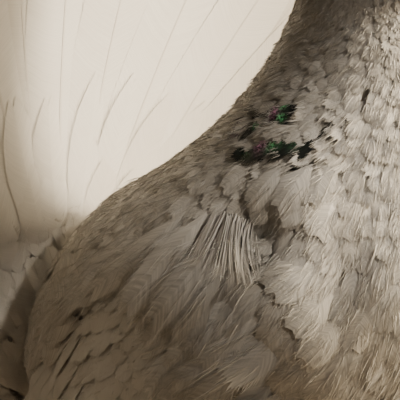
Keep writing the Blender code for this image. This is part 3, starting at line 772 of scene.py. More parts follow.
def body_spacing(s):
    return np.interp(s, SPACING_STATIONS, SPACING_MM) / 1000


def camera_axes():
    """The photograph's direction back to the camera, its right and its up."""
    back = np.array((
        math.sin(VIEW_AZIMUTH) * math.cos(VIEW_ELEVATION),
        -math.cos(VIEW_AZIMUTH) * math.cos(VIEW_ELEVATION),
        math.sin(VIEW_ELEVATION),
    ))
    right = np.array((math.cos(VIEW_AZIMUTH), math.sin(VIEW_AZIMUTH), 0.0))
    return back, right, np.cross(back, right)


def to_pixels(points):
    """Places of points in the photograph's frame."""
    back, right, up = camera_axes()
    away = points - (VIEW_TARGET + back * VIEW_DISTANCE)
    scale = VIEW_DISTANCE / VIEW_WIDTH * PIXELS / -(away @ back)
    return stacked(PIXELS / 2 + (away @ right) * scale, PIXELS / 2 - (away @ up) * scale)


SEEN = to_pixels(COAT.points)
HIDDEN = (COAT.table[..., 3:6] @ camera_axes()[0] < 0.02) * 1e9


def seen(pixel):
    """The station and turn of the plumage seen at a pixel of the photograph."""
    miss = np.sum((SEEN - np.asarray(pixel, float)) ** 2, axis=-1) + HIDDEN
    i, j = np.unravel_index(np.argmin(miss), miss.shape)
    return i / (GRID[0] - 1) * BODY_END, j / (GRID[1] - 1) * FULL_TURN


def unwrap(s, turn, s_range=(0.0, BODY_END)):
    """The place of s, turn on the skin's unwrap."""
    return stacked(
        0.02 + 0.96 * np.mod(turn, FULL_TURN) / FULL_TURN,
        0.02 + 0.96 * (s - s_range[0]) / (s_range[1] - s_range[0]),
    )


def spots(rows):
    """Centres, reaches and normals of marks told by pixels of the photograph."""
    places = np.array([seen(row[:2]) for row in rows])
    point, normal, _, _ = COAT.at(places[:, 0], places[:, 1])
    return point, np.array([row[2] for row in rows]) / 1000, normal


DARK_SPOTS = spots(DARK)
GLEAM_SPOTS = spots(GLEAMS)


def dark_share(points):
    """1 where the plumage is dark, 0 where it is white."""
    centres, reach, _ = DARK_SPOTS
    far = np.linalg.norm(points[..., None, :] - centres, axis=-1) / reach
    return np.exp(-np.min(far, axis=-1) ** 4)


def gleams(points):
    """Green and purple of the dark feathers at points: their own iridescent colours, bright at
    fixed places as painted sheen.
    """
    centres, reach, normal = GLEAM_SPOTS
    away = points[..., None, :] - centres
    away = away - normal * np.sum(away * normal, axis=-1, keepdims=True)
    near = np.exp(-np.sum(away ** 2, axis=-1) / reach ** 2)
    green, purple = np.array(GLEAMS).T[3:]
    return {"green": np.max(near * green, axis=-1), "purple": np.max(near * purple, axis=-1)}


def near_view(points):
    """Whether points show in the photograph's frame or within a margin of it."""
    where = to_pixels(points)
    return np.all((where > -VIEW_MARGIN) & (where < PIXELS + VIEW_MARGIN), axis=-1)


class Finish:
    """A material in the making.

    Inputs of nodes are told by name or number. Each is a value, or an output of
    another node.
    """

    def __init__(self, name):
        self.material = bpy.data.materials.new(name)
        self.material.use_nodes = True
        self.tree = self.material.node_tree

    def feed(self, node, inputs):
        for key, value in inputs.items():
            if isinstance(value, bpy.types.NodeSocket):
                self.tree.links.new(value, node.inputs[key])
            else:
                node.inputs[key].default_value = value

    def shaded(self, inputs):
        """The material, once its shader has its inputs."""
        self.feed(self.tree.nodes["Principled BSDF"], inputs)
        return self.material

    def node(self, kind, inputs, output, **settings):
        """An output of a new node."""
        made = self.tree.nodes.new("ShaderNode" + kind)
        for key, value in settings.items():
            setattr(made, key, value)
        self.feed(made, inputs)
        return made.outputs[output]

    def share(self, name):
        return self.node("Attribute", {}, "Fac", attribute_name=name)

    def grain(self, scale, detail):
        place = self.node("TexCoord", {}, "Object")
        return self.node("TexNoise", {"Scale": scale, "Detail": detail, "Vector": place}, "Fac")

    def reckoned(self, operation, *values):
        return self.node("Math", dict(enumerate(values)), 0, operation=operation)

    def ranged(self, value, low, high, least=0.0):
        inputs = {"Value": value, "From Min": low, "From Max": high, "To Min": least}
        return self.node("MapRange", inputs, "Result")

    def mixed(self, factor, first, second, blend="MIX"):
        inputs = {"Factor": factor, "A": first, "B": second}
        return self.node("Mix", inputs, "Result", data_type="RGBA", blend_type=blend)

    def bump(self, height, distance, strength=1.0):
        inputs = {"Height": height, "Distance": distance, "Strength": strength}
        return self.node("Bump", inputs, "Normal")


def feather_material(name, shade, barbs, lines=1.0):
    """White plumage: faint tints and streaks along the barbs."""
    made = Finish(name)
    tint = made.share("tint")
    cloud = made.reckoned("MULTIPLY", made.grain(70.0, 3.0), 0.75)
    blend = made.reckoned("MULTIPLY_ADD", tint, 0.55, cloud)
    tone = made.mixed(blend, (0.71, 0.685, 0.64, 1), (*shade, 1))
    uv = made.node("UVMap", {}, "UV", uv_map="Barb")
    place = made.node("Mapping", {"Vector": uv, "Scale": (lines, 0.7, 1.0)}, "Vector")
    seed = made.reckoned("MULTIPLY", tint, 300.0)
    streaks = made.node("TexNoise", {"Vector": place, "W": seed, "Scale": 1.0, "Detail": 1.0},
                        "Fac", noise_dimensions="4D")
    dim = made.ranged(streaks, 0.32, 0.68, 1.0 - barbs)
    return made.shaded({
        "Roughness": 0.62, "Specular IOR Level": 0.25, "Sheen Weight": 0.15,
        "Sheen Roughness": 0.4, "Base Color": made.mixed(1.0, tone, dim, "MULTIPLY"),
        "Normal": made.bump(streaks, 0.0001 / lines, 0.6),
    })


def plain_material(name, colour, other, scale, roughness, bump_mm=0.0):
    """A finish with a fine grain between two colours, near-black where it is marked: the skin's
    real dark markings, and painted shade in the bill's nostril slits.
    """
    made = Finish(name)
    grain = made.grain(scale, 4.0)
    tone = made.mixed(made.ranged(grain, 0.25, 0.75), (*colour, 1), (*other, 1))
    # Near-black by the mark: real dark markings on the skin, painted shade in the nostril slits.
    marking_and_painted_shade = made.mixed(made.share("mark"), tone, (0.02, 0.015, 0.015, 1))
    normal = {"Normal": made.bump(grain, bump_mm / 1000)} if bump_mm else {}
    return made.shaded({"Roughness": roughness, "Base Color": marking_and_painted_shade, **normal})


def dark_material():
    """Near-black plumage with its own iridescent green and purple in places, painted bright into
    the colour as painted sheen.
    """
    made = Finish("dark_feather")
    fleck = made.ranged(made.grain(1900.0, 2.0), 0.42, 0.60, 0.05)
    colour = (0.016, 0.018, 0.016, 1)
    # The bright green and purple are the feathers' own iridescent colours, made bright here as
    # painted sheen.
    for key, gleam in (("green", (0.22, 0.88, 0.34, 1)), ("purple", (0.80, 0.34, 0.58, 1))):
        colour = made.mixed(made.reckoned("MULTIPLY", made.share(key), fleck), colour, gleam)
    return made.shaded({"Roughness": 0.38, "Base Color": colour})


def eye_material():
    """Black pupil in a deep brown iris, told by the angle from the gaze."""
    made = Finish("eye_moist")
    angle = made.reckoned("DIVIDE", made.share("mark"), math.pi)
    colour = made.node("ValToRGB", {"Fac": angle}, "Color")
    ramp = colour.node.color_ramp.elements
    ramp[0].position, ramp[0].color = 0.155, (0.002, 0.001, 0.001, 1)
    ramp[1].position, ramp[1].color = 0.175, (0.040, 0.012, 0.005, 1)
    ramp.new(0.27).color = (0.018, 0.005, 0.003, 1)
    return made.shaded({"Roughness": 0.03, "Coat Weight": 0.6, "Base Color": colour})


def circle(sides):
    """Turns evenly spread around a circle."""
    return np.linspace(0, FULL_TURN, sides, endpoint=False)


def ring_in(surface, s, sides, depth):
    """A ring of points beneath a closed surface."""
    point, normal, _, _ = surface.at(s, circle(sides))
    return point - normal * depth


def make_skin(finish):
    """The bird's skin, inside the coat by its depth, from the bill to the tail."""
    rings = [
        ring_in(BODY, s, 72, COAT_DEPTH * np.interp(s, SKIN_STATIONS, SKIN_SHARES))
        for s in np.linspace(0.0, BODY_END, 120)
    ]
    skin_piece("skin", [rings], finish, ("head", "neck", "torso"),
               dark_share(np.array(rings)) * 0.95)


def off_eye(through, width):
    """Bends cut short where they would cover an eye, and which of them stay."""
    side = np.sign(through[:, :1, :1]) * (1, 0, 0) + (0, 1, 1)

    def blocked(bends):
        away = bends * side - (EYE_PLACE + SHIFT)
        far = np.linalg.norm(away - GAZE * (away @ GAZE)[..., None], axis=-1)
        return far.min(axis=1) < EYE_RADIUS * 1.01 + 0.35 * width

    kept = through.copy()
    for low, high in KEPT_SHARES:
        again = blocked(kept)
        for k, t in enumerate((low, (low + high) / 2, high)):
            kept[again, k] = along_bend(through[again], t)[0]
    return kept, ~blocked(kept)


def bent(start, middle, end):
    """Bends through three points each."""
    return np.stack([start, middle, end], axis=1)


def laid(rng, vane, through, normals, tilt, widths, roots, strands=0, reach=0.30, **look):
    """Feathers turned by tilt about their lengths, and the barbs that trail from them."""
    normals = tilted(through, normals, tilt)
    batches = [grow(vane, rng, through, normals, widths, roots, **look)]
    if strands:
        batches.append(fringe(rng, through, normals, widths, roots, strands, reach))
    return batches


def body_coat(white, near_white):
    """The small feathers of head, neck, breast, back and belly. Returns the dark ones."""
    rng = np.random.default_rng(11)
    raised = COAT.at(*seen(RAISED_PIXEL))[0]
    dusky = []
    for name, low, high, plain, fine, overlap, broad, strands, reach, roll, loose in COAT_KINDS:
        span = ((low, high), (0.0, FULL_TURN), body_spacing)
        rows = scattered(COAT, rng, *span) if name == "trunk" else rows_on(COAT, rng, *span, 0.86)
        s, turn, gap = rows.T
        point = COAT.at(s, turn)[0]
        keep = ~under_wing(point, WING_MARGIN)
        s, turn, gap, point = s[keep], turn[keep], gap[keep], point[keep]
        count, spacing = len(s), body_spacing(s)
        length = overlap * np.minimum(gap, 1.3 * spacing) * rng.uniform(0.85, 1.15, count)
        width = spacing * broad * rng.uniform(0.85, 1.12, count)
        lifted = 1 + 0.9 * smoothstep(6.0, 7.2, s) * smoothstep(8.7, 7.9, s)
        lifted = lifted - 0.4 * smoothstep(8.4, 9.0, s)
        near = np.linalg.norm(point - raised, axis=-1) / RAISED_REACH
        lifted = lifted + 1.6 * np.exp(-near ** 2)
        lifts = (
            -0.30 * spacing - 0.0002,
            0.10 * spacing * rng.uniform(1 - loose, 1 + loose, count) * lifted,
            0.20 * spacing * rng.uniform(1 - loose, 1 + loose, count) * lifted,
        )
        bearing = rng.normal(0, 0.13, count)
        through, normals = marched(
            COAT, s, turn, length, lambda a, b: body_flow(a, b) + bearing, lifts, over_wing
        )
        normals = tilted(through, normals, rng.normal(0, roll, count))
        roots = unwrap(s, turn, (low - 0.3, high + 0.3))
        through, clear = off_eye(through, width)
        clear &= np.linalg.norm(through[:, 2] - through[:, 0], axis=1) / length < MOST_STRETCH
        shown = near_view(point) & clear
        black = dark_share(through[:, 1]) > 0.5
        look = {"camber": 14.0, "ragged": 0.10 + 0.1 * loose, "flutter": 0.05}

        def batches_of(part, some):
            wide = width[some] * (FAR_BREADTH if part == "far" else 1.0)
            return laid(rng, plain if part == "far" else fine, through[some], normals[some], 0.0,
                        wide, roots[some], 0 if part == "far" else strands, reach, **look)

        for part, vane, chosen in (("far", plain, ~shown & clear), ("near", fine, shown & ~black)):
            if not chosen.any():
                continue
            each = len(vane.faces) + (len(Strand().faces) * strands if part == "near" else 0)
            pieces = math.ceil(int(chosen.sum()) * each / MOST_TRIANGLES)
            for k, some in enumerate(np.array_split(np.flatnonzero(chosen), pieces)):
                label = f"coat_{name}_{part}" + (f"_{k}" if pieces > 1 else "")
                finish = near_white if part == "near" else white
                coat_piece(label, batches_of(part, some), finish)
        if black.any():
            dusky += batches_of("dark", np.flatnonzero(black))
    return dusky


def posed(rows):
    """Bends, normals, half widths and roots of feathers told by the photograph."""
    rows = np.array(rows, float)
    ends = rows[:, :4].reshape(-1, 2, 2)
    lines = np.stack([ends[:, 0], ends.mean(axis=1), ends[:, 1]], axis=1)
    aim = lines.copy()
    for _ in range(4):
        found = np.array([[seen(pixel) for pixel in line] for line in aim])
        point, normal, _, _ = COAT.at(found[..., 0], found[..., 1])
        through = point + normal * (over_wing(point) + rows[:, 5:] / 1000)[..., None]
        aim += 0.8 * (lines - to_pixels(through))
    return through, normal, rows[:, 4] / 1000, unwrap(found[:, 0, 0], found[:, 0, 1])


def both_sides(told):
    """Feathers on the bird's right side, and the same ones on its left."""
    through, normals, widths, roots = told
    flip = np.array((-1.0, 1.0, 1.0))
    return told, (through * flip, normals * flip, widths, roots * (-1, 1) + (1, 0))


def single_feathers(near_white, dark, dusky):
    """The feathers of mantle, shoulder and breast that lie on the coat."""
    rng = np.random.default_rng(23)
    broad = Vane(34, (0.35, 0.72), LOBE, sweep=0.30)
    narrow = Vane(16, (0.34, 0.62), sweep=0.4)
    batches = []
    for rows, vane, strands, ragged, camber in (
        (MANTLE, broad, 30, 0.12, 42.0), (SCAPULARS, broad, 30, 0.12, 16.0),
        (BREAST, broad, 44, 0.14, 30.0), (WHITE_ROWS, narrow, 16, 0.2, 12.0),
    ):
        sides = both_sides(posed(rows))
        for through, normals, widths, roots in sides[:1] if rows is WHITE_ROWS else sides:
            batches += laid(rng, vane, through, normals, rng.normal(0, 6, len(through)), widths,
                            roots, strands, camber=camber, ragged=ragged, flutter=0.04)
    for through, normals, widths, roots in both_sides(posed(PLUMES)):
        pick = np.repeat(np.arange(len(through)), 30)
        stray = rng.normal(0, 1, (len(pick), 1, 3)) * np.array((0.6, 0.9, 1.3))[:, None] / 1000
        paths = through[pick] + stray * (widths[pick] / 0.0024)[:, None, None]
        batches += laid(rng, Strand(5), paths, normals[pick], rng.normal(0, 40, len(pick)),
                        rng.uniform(0.00012, 0.00023, len(pick)), roots[pick])
    coat_piece("coat_single", batches, near_white)
    through, normals, widths, roots = posed(DARK_ROWS)
    dusky = dusky + laid(rng, Vane(20, (0.34, 0.60), sweep=0.42), through, normals, 0.0, widths,
                         roots, 34, camber=12.0, ragged=0.25, flutter=0.05)
    coat_piece("coat_dark", dusky, dark, marks=gleams)


def make_wing(side, name, white, skin_finish):
    """One folded wing: its flesh, coverts in tiers and the flight feathers."""
    rng = np.random.default_rng(31 + side)
    root, along, across, outward = wing_axes(side)
    batches = []

    def placed(u, v, w):
        """World points of places along, across and outwards."""
        spot = stacked(u, v, w)
        return root + spot[..., :1] * along + spot[..., 1:2] * across + spot[..., 2:] * outward

    def wing_place(s, share):
        row = between(WING, s)
        return placed(row[..., 0], row[..., 1] + row[..., 2] * share,
                      row[..., 3] * wing_fall(share))

    def flight(vane, through, wide, tilt, roots, thick, **look):
        """Long feathers with their shafts."""
        normals = tilted(through, np.broadcast_to(outward, through.shape), -side * tilt)
        batches.append(grow(vane, rng, through, normals, wide, roots, **look))
        batches.extend(shafts(rng, through, normals, roots, thick))

    rings = []
    share = np.linspace(-1, 1, 15)
    for s in np.linspace(0.0, 5.0, 22):
        u, middle, half, high, deep = between(WING, np.array(s))
        v, fall = middle + 0.96 * half * share, wing_fall(share)
        top, bottom = placed(u, v, 0.86 * high * fall), placed(u, v, -0.9 * deep * fall)
        rings.append(np.concatenate([top, bottom[::-1]]))
    skin_piece("wing_skin_" + name, [rings], skin_finish)

    long_vane = Vane(90, (0.45, 0.94), FLIGHT, 0.02, 0.10, False, 0.08)
    t = np.arange(10) / 9
    start = placed(0.060, 0.004 - 0.020 * t, 0.0020 - 0.0035 * t)
    bend = placed(0.125, 0.002 - 0.022 * t, 0.0030 - 0.0036 * t)
    end = placed(0.167 + 0.045 * t ** 0.8, -0.010 * t, 0.0024 - 0.0034 * t)
    flight(long_vane, bent(start, (start + end) / 4 + bend / 2, end), 0.0075, 5.0,
           stacked(0.3 + 0.18 * t, 0.9), 0.0007, camber=6.0, ragged=0.02, flutter=0.02,
           lopsided=-side * 0.35)

    t = np.arange(13) / 12
    v = -0.014 + 0.038 * t
    start = placed(0.056, v, wing_top(0.056 + 0 * t, v) - 0.0026)
    bend = placed(0.105, v, 0.0058 + 0.0040 * np.sin(math.pi * t))
    end = placed(0.154 - 0.020 * t, -0.016 + 0.031 * t, 0.0042 + 0.0014 * t)
    flight(long_vane, bent(start, (start + end) / 4 + bend / 2, end), 0.0082,
           12.0 * (1 - 0.8 * t), stacked(0.3 + 0.24 * t, 0.7), 0.0006, camber=6.0, ragged=0.02,
           flutter=0.02)

    t = np.arange(6) / 5
    v = 0.002 + 0.026 * t
    top = wing_top(0.066 + 0 * t, v)
    start = placed(0.066, v, top - 0.0018)
    middle = placed(0.096 - 0.004 * t, v - 0.002, top - 0.0002 + 0.0012 * t)
    end = placed(0.134 - 0.024 * t, v - 0.005, 0.0072 + 0.0012 * t)
    flight(Vane(70, (0.45, 0.92), FLIGHT, 0.02, 0.14, False, 0.16),
           bent(start, middle, end), 0.0088, 13.0, stacked(0.3 + 0.15 * t, 0.5),
           0.0005, camber=10.0, ragged=0.04, flutter=0.03)

    surface = Surface(wing_place, (0.0, 7.0), (-1.0, 1.0), (141, 61), lambda points: outward)
    for low, high, gap, vane, overlap, lift in COVERT_TIERS:
        s, q, _ = rows_on(surface, rng, (low, high), (-0.93, 0.93), lambda s: gap, 0.80, 0.06).T
        length = overlap * gap * rng.uniform(0.92, 1.08, len(s))
        through, normals = marched(surface, s, q, length, straight, (-0.0008, lift * 0.7, lift))
        batches += laid(rng, vane, through, normals, -side * rng.normal(7, 3, len(s)),
                        gap * 0.72, stacked(0.1 + 0.2 * (q + 1), 0.05 + 0.15 * s), 12, 0.12,
                        camber=9.0, ragged=0.10, flutter=0.04)
    coat_piece("wing_feathers_" + name, batches, white, ("wing_" + name,))


def fan_place(radius, psi):
    """A point of the fan's front, by radius and angle from upright."""
    out = stacked(np.sin(psi), 0.0, 0.0) + np.cos(psi)[..., None] * FAN_UP
    rise = FAN_CUP * (radius / FAN_RADIUS) ** 2
    return FAN_ROOT + SHIFT + out * radius[..., None] + FAN_FRONT * rise[..., None]


def make_fan(rng, white):
    """The raised fan with its coverts on both faces."""
    fan = Surface(fan_place, (0.004, 0.18), (-2.2, 2.2), (121, 121), lambda points: FAN_FRONT)
    k = np.arange(FAN_FEATHERS)
    psi = FAN_HALF_ANGLE * (2 * k / (FAN_FEATHERS - 1) - 1) + rng.normal(0, 0.010, len(k))
    tier = np.where(k % 2, 0.00022, -0.00022)
    length = FAN_RADIUS - 0.022 + rng.uniform(-0.003, 0.001, len(k))
    through, normals = marched(fan, np.full(len(k), 0.020), psi, length, straight,
                               (tier * 0.4, tier, tier))
    normals = tilted(through, normals, rng.normal(1.3, 0.4, len(k)))
    roots = stacked(0.5 + 0.014 * (k - 14.5), 0.5)
    batches = [grow(Vane(150, (0.45, 0.96), BLADE, 0.04, 0.08, False, 0.10), rng, through,
                    normals, 0.0150, roots, camber=1.0, ragged=0.03, flutter=0.012)]
    batches += shafts(rng, through, normals, roots, 0.0006, 0.00012)
    covert = Vane(56, (0.40, 0.80))
    for way, radius, count, size, wide in FAN_COVERTS:
        psi = np.linspace(-1.45, 1.45, count) + rng.normal(0, 0.03, count)
        lift = way * (0.0007 + 0.03 * (0.030 - radius))
        through, normals = marched(fan, np.full(count, radius), psi,
                                   size * rng.uniform(0.9, 1.08, count), straight,
                                   (lift * 0.6, lift, lift - way * 0.0004))
        batches += laid(rng, covert, through, normals * way, rng.normal(2, 1, count), wide,
                        stacked(0.5 + 0.3 * psi / 1.5, 0.3 + radius * 5), camber=7.0,
                        ragged=0.08, flutter=0.02)
    coat_piece("tail_fan", batches, white, ("tail",))


def on_cushion(flat, way):
    """Points and normals of the cushion over places of its flat face."""
    share = np.clip(np.linalg.norm(flat, axis=-1) / PAD[0], 0.0, 0.995)
    deep = np.sqrt(1 - share ** 2)[..., None]
    level = flat[..., :1] * np.array((1.0, 0, 0)) + flat[..., 1:] * FAN_UP
    normal = unit(level / PAD[0] ** 2 * 0.5 + way * FAN_FRONT * (deep + 0.25) / PAD[1])
    return FAN_ROOT + SHIFT + level + way * FAN_FRONT * deep * PAD[1], normal


def bends_over(spots, lifts):
    """Bends over points with normals, and those normals."""
    through = np.stack([point + normal * lift for (point, normal), lift in zip(spots, lifts)], 1)
    return through, np.stack([normal for _, normal in spots], axis=1)


def make_cushion(rng, white, skin_finish):
    """The cushion of soft feathers at the fan's root, and the skin inside it."""
    look = {"camber": 9.0, "ragged": 0.16, "flutter": 0.06}
    batches = []
    for way, count in ((-1, 350), (1, 190)):
        radius = PAD[0] * np.sqrt(rng.uniform(0, 1, count)) * 0.97
        turn = rng.uniform(0, FULL_TURN, count)
        start = stacked(radius * np.sin(turn), radius * np.cos(turn))
        heading = unit(start - (0, -1.25 * PAD[0])) + rng.normal(0, 0.08, start.shape)
        length = 0.017 * rng.uniform(0.85, 1.15, count)[:, None]
        spot = [on_cushion(start + heading * length * share, way) for share in (0.0, 0.5, 0.95)]
        roots = stacked(0.5 + 0.45 * way + 5 * start[:, 0], 0.5 + 10 * start[:, 1])
        through, normals = bends_over(spot, (-0.0008, 0.0012, 0.0018))
        batches += laid(rng, Vane(16, SOFT, sweep=0.34), through, normals,
                        rng.normal(0, 8, count), 0.0050, roots, 6, **look)
    for inner, outer, count in ((0.62, 0.60, 30), (0.80, 0.78, 36)):
        turn = math.pi + np.linspace(-1.5, 1.5, count) + rng.normal(0, 0.03, count)
        out = stacked(np.sin(turn), np.cos(turn)) * PAD[0]
        spot = [on_cushion(out * share, way)
                for share, way in ((inner, 1), (0.99, -1), (outer, -1))]
        through, normals = bends_over(spot, (-0.0006, 0.0016, 0.0026))
        through[:, 1:, 2] -= 0.0006
        normals[:, 1] = unit(normals[:, 1] + stacked(np.sin(turn), 0.0, np.cos(turn)) * 1.5)
        roots = stacked(0.5 + 0.1 * (turn - math.pi), 0.5 + 0.1 * inner)
        batches += laid(rng, Vane(24, SOFT, sweep=0.34), through, normals,
                        rng.normal(0, 6, count), 0.0056, roots, 12, **look)
    coat_piece("tail_cushion", batches, white)
    turns = circle(40)
    level = stacked(np.sin(turns), 0.0, 0.0) + np.cos(turns)[:, None] * FAN_UP
    rings = [
        FAN_ROOT + SHIFT + level * PAD[0] * 0.92 * math.cos(angle)
        - FAN_FRONT * PAD[1] * 0.85 * math.sin(angle)
        for angle in np.linspace(-math.pi / 2 + 0.05, math.pi / 2 - 0.05, 16)
    ]
    skin_piece("tail_skin", [rings], skin_finish)


def limb_surface(centres, radii):
    """A round limb, by share along its centres and turn."""
    rows = np.concatenate([centres, np.asarray(radii)[:, None]], axis=1)
    axis = unit(centres[-1] - centres[0])
    across = unit(np.cross(axis, (0.0, 1.0, 0.0)))
    other = np.cross(across, axis)

    def place(s, turn):
        row = between(rows, s)
        rim = across * np.cos(turn)[..., None] + other * np.sin(turn)[..., None]
        return (row[..., :3] + row[..., 3:] * rim) + SHIFT

    return Surface(place, (0.0, len(radii) - 1.0), (0.0, FULL_TURN), (121, 61),
                   lambda points: points - points.mean(axis=1, keepdims=True), True)


def make_toes(side, name, ankle, finish):
    """The scaled toes, flat on the floor."""
    tubes = []
    roll = circle(20)
    for degrees, length, radius in TOES:
        turn = math.radians(degrees)
        heading = np.array((side * math.sin(turn), -math.cos(turn), 0.0))
        across = np.array((-heading[1], heading[0], 0.0))
        rings = []
        for share in np.linspace(0, 1, 72):
            knuckle = 1.0 + 0.10 * math.cos(6 * math.pi * share)
            size = radius * (1 - 0.42 * share) * knuckle
            centre = np.array((ankle[0], ankle[1], 0.0046)) + heading * length * share
            centre[2] -= 0.002 * min(share * 3, 1) + radius - size
            scute = 1 + 0.045 * abs(math.sin(18 * math.pi * share))
            wide = size * np.where(np.sin(roll) > -0.1, scute, 1.0)
            ring = centre + across * (wide * np.cos(roll))[:, None]
            ring[:, 2] = np.maximum(ring[:, 2] + wide * np.sin(roll), 0.0)
            rings.append(ring + SHIFT)
        tubes.append(rings)
    skin_piece("toes_" + name, tubes, finish, ("foot_" + name,))


def make_leg(side, name, white, skin_finish, scale_finish):
    """Feathered thigh, scaled toes and the long feathers of the foot."""
    rng = np.random.default_rng(71 + side)
    hip, hock, ankle = (p * (side, 1, 1) for p in (HIP, HOCK, ANKLE))
    centres = [hip + (hock - hip) * t for t in (0.0, 0.4, 0.8, 1.0)]
    centres += [hock + (ankle + (0, 0, 0.001) - hock) * t for t in (0.35, 0.7)] + [ankle]
    limb = limb_surface(centres, LEG_RADII)
    rings = [ring_in(limb, s, 32, 0.0014) for s in np.linspace(0, 3, 18)]
    skin_piece("thigh_skin_" + name, [rings], skin_finish, ("thigh_" + name,))
    batches = []
    for low, high, gap, length, vane in LEG_TIERS:
        s, q, _ = rows_on(limb, rng, (low, high), (0.0, FULL_TURN), lambda s: gap, 0.9).T
        through, normals = marched(limb, s, q, length * rng.uniform(0.8, 1.2, len(s)), straight,
                                   (-0.0010, 0.0008, 0.0015))
        through[..., 2] = np.maximum(through[..., 2], 0.0012)
        batches += laid(rng, vane, through, normals, rng.normal(0, 5, len(s)), gap * 0.78,
                        unwrap(s, q, (0, 6)), camber=12.0, ragged=0.2, flutter=0.06)
    muff = Vane(40, (0.4, 0.80), LEAF, 0.02, 0.16)
    for tier, (count, length, level) in enumerate(MUFF_TIERS):
        k = np.arange(count)
        t = (k + rng.uniform(-0.2, 0.2, count)) / (count - 1)
        turn = np.radians(48.0 + 112.0 * t)
        heading = stacked(side * np.sin(turn), -np.cos(turn), 0.0)
        reach = length * (1.0 - 0.22 * (2 * t - 1) ** 2) * rng.uniform(0.92, 1.04, count)
        start = ankle + SHIFT + (0, 0.001, 0)
        start = start + stacked(0.0, 0.0, level - ankle[2] + 0.0008 * (k % 2))
        end = start + heading * reach[:, None]
        end[:, 2] = 0.0030 + 0.0022 * tier + 0.0006 * (k % 2)
        through = bent(start, start * 0.45 + end * 0.55 + np.array((0, 0, 0.0014)), end)
        batches += laid(rng, muff, through, np.broadcast_to((0.0, 0.0, 1.0), through.shape),
                        side * 9.0, 0.0050, stacked(0.2 + 0.6 * t, 0.2 + 0.1 * tier),
                        camber=10.0, ragged=0.12, flutter=0.05)
    coat_piece("leg_feathers_" + name, batches, white)
    make_toes(side, name, ankle, scale_finish)
    rings = [ring_in(limb, s, 20, 0.0012) for s in np.linspace(3, 6, 10)]
    skin_piece("shank_skin_" + name, [rings], skin_finish)


def make_crest(white):
    """The peak of small feathers at the back of the head."""
    rng = np.random.default_rng(17)
    batches = []
    for count, size, level, tall in CREST_TIERS:
        turn = FULL_TURN * (np.arange(count) + rng.uniform(-0.2, 0.2, count)) / count
        out = stacked(np.sin(turn), np.cos(turn), 0.0)
        start = CREST_ROOT + SHIFT + out * (0.0082 * size, 0.0052 * size, 0)
        start[:, 2] += level - 0.004 + 0.0075 * (1 - np.cos(turn)) / 2
        end = start + (CREST_PEAK + SHIFT - start) * (tall * rng.uniform(0.86, 1.0, count))[:, None]
        end += out * 0.0011 + rng.normal(0, 0.0003, end.shape)
        through = bent(start, (start + end) / 2 + out * 0.0022 * size, end)
        normals = unit(np.repeat(out[:, None] + (0, 0, 0.25), 3, axis=1))
        batches += laid(rng, Vane(22, (0.4, 0.7), LEAF, sweep=0.36), through, normals,
                        rng.normal(0, 10, count), 0.0030,
                        stacked(0.1 + 0.8 * turn / FULL_TURN, 0.3 + 0.4 * size), 12, 0.15,
                        camber=30.0, ragged=0.2, flutter=0.05)
    coat_piece("crest", batches, white)


def make_eye(side, name, eye_finish, lid_finish):
    """A dark, moist eye with its bare ring of lids."""
    centre = EYE_PLACE * (side, 1, 1) + SHIFT
    gaze = unit(GAZE * (side, 1, 1))
    across = unit(np.cross(gaze, (0.0, 0.0, 1.0)))
    up = np.cross(across, gaze)
    around = circle(64)
    rim = across * np.cos(around)[:, None] + up * np.sin(around)[:, None]

    def ring(angle, radius):
        angle = np.broadcast_to(angle, 64)[:, None]
        return centre + (gaze * np.cos(angle) + rim * np.sin(angle)) * (radius * EYE_RADIUS)

    angles = np.linspace(0.03, math.pi - 0.03, 48)
    bulge = 1.0 + 0.035 * np.exp(-(angles / 0.55) ** 2)
    skin_piece("eyeball_" + name, [[ring(*row) for row in zip(angles, bulge)]], eye_finish,
               ("eye_" + name,), np.repeat(angles[:, None], 64, axis=1))
    opening = 0.86 + 0.07 * np.cos(2 * around) - 0.05 * np.sin(around)
    rings = [ring(opening + step, size) for step, size in LID_STEPS]
    skin_piece("lids_" + name, [rings], lid_finish)


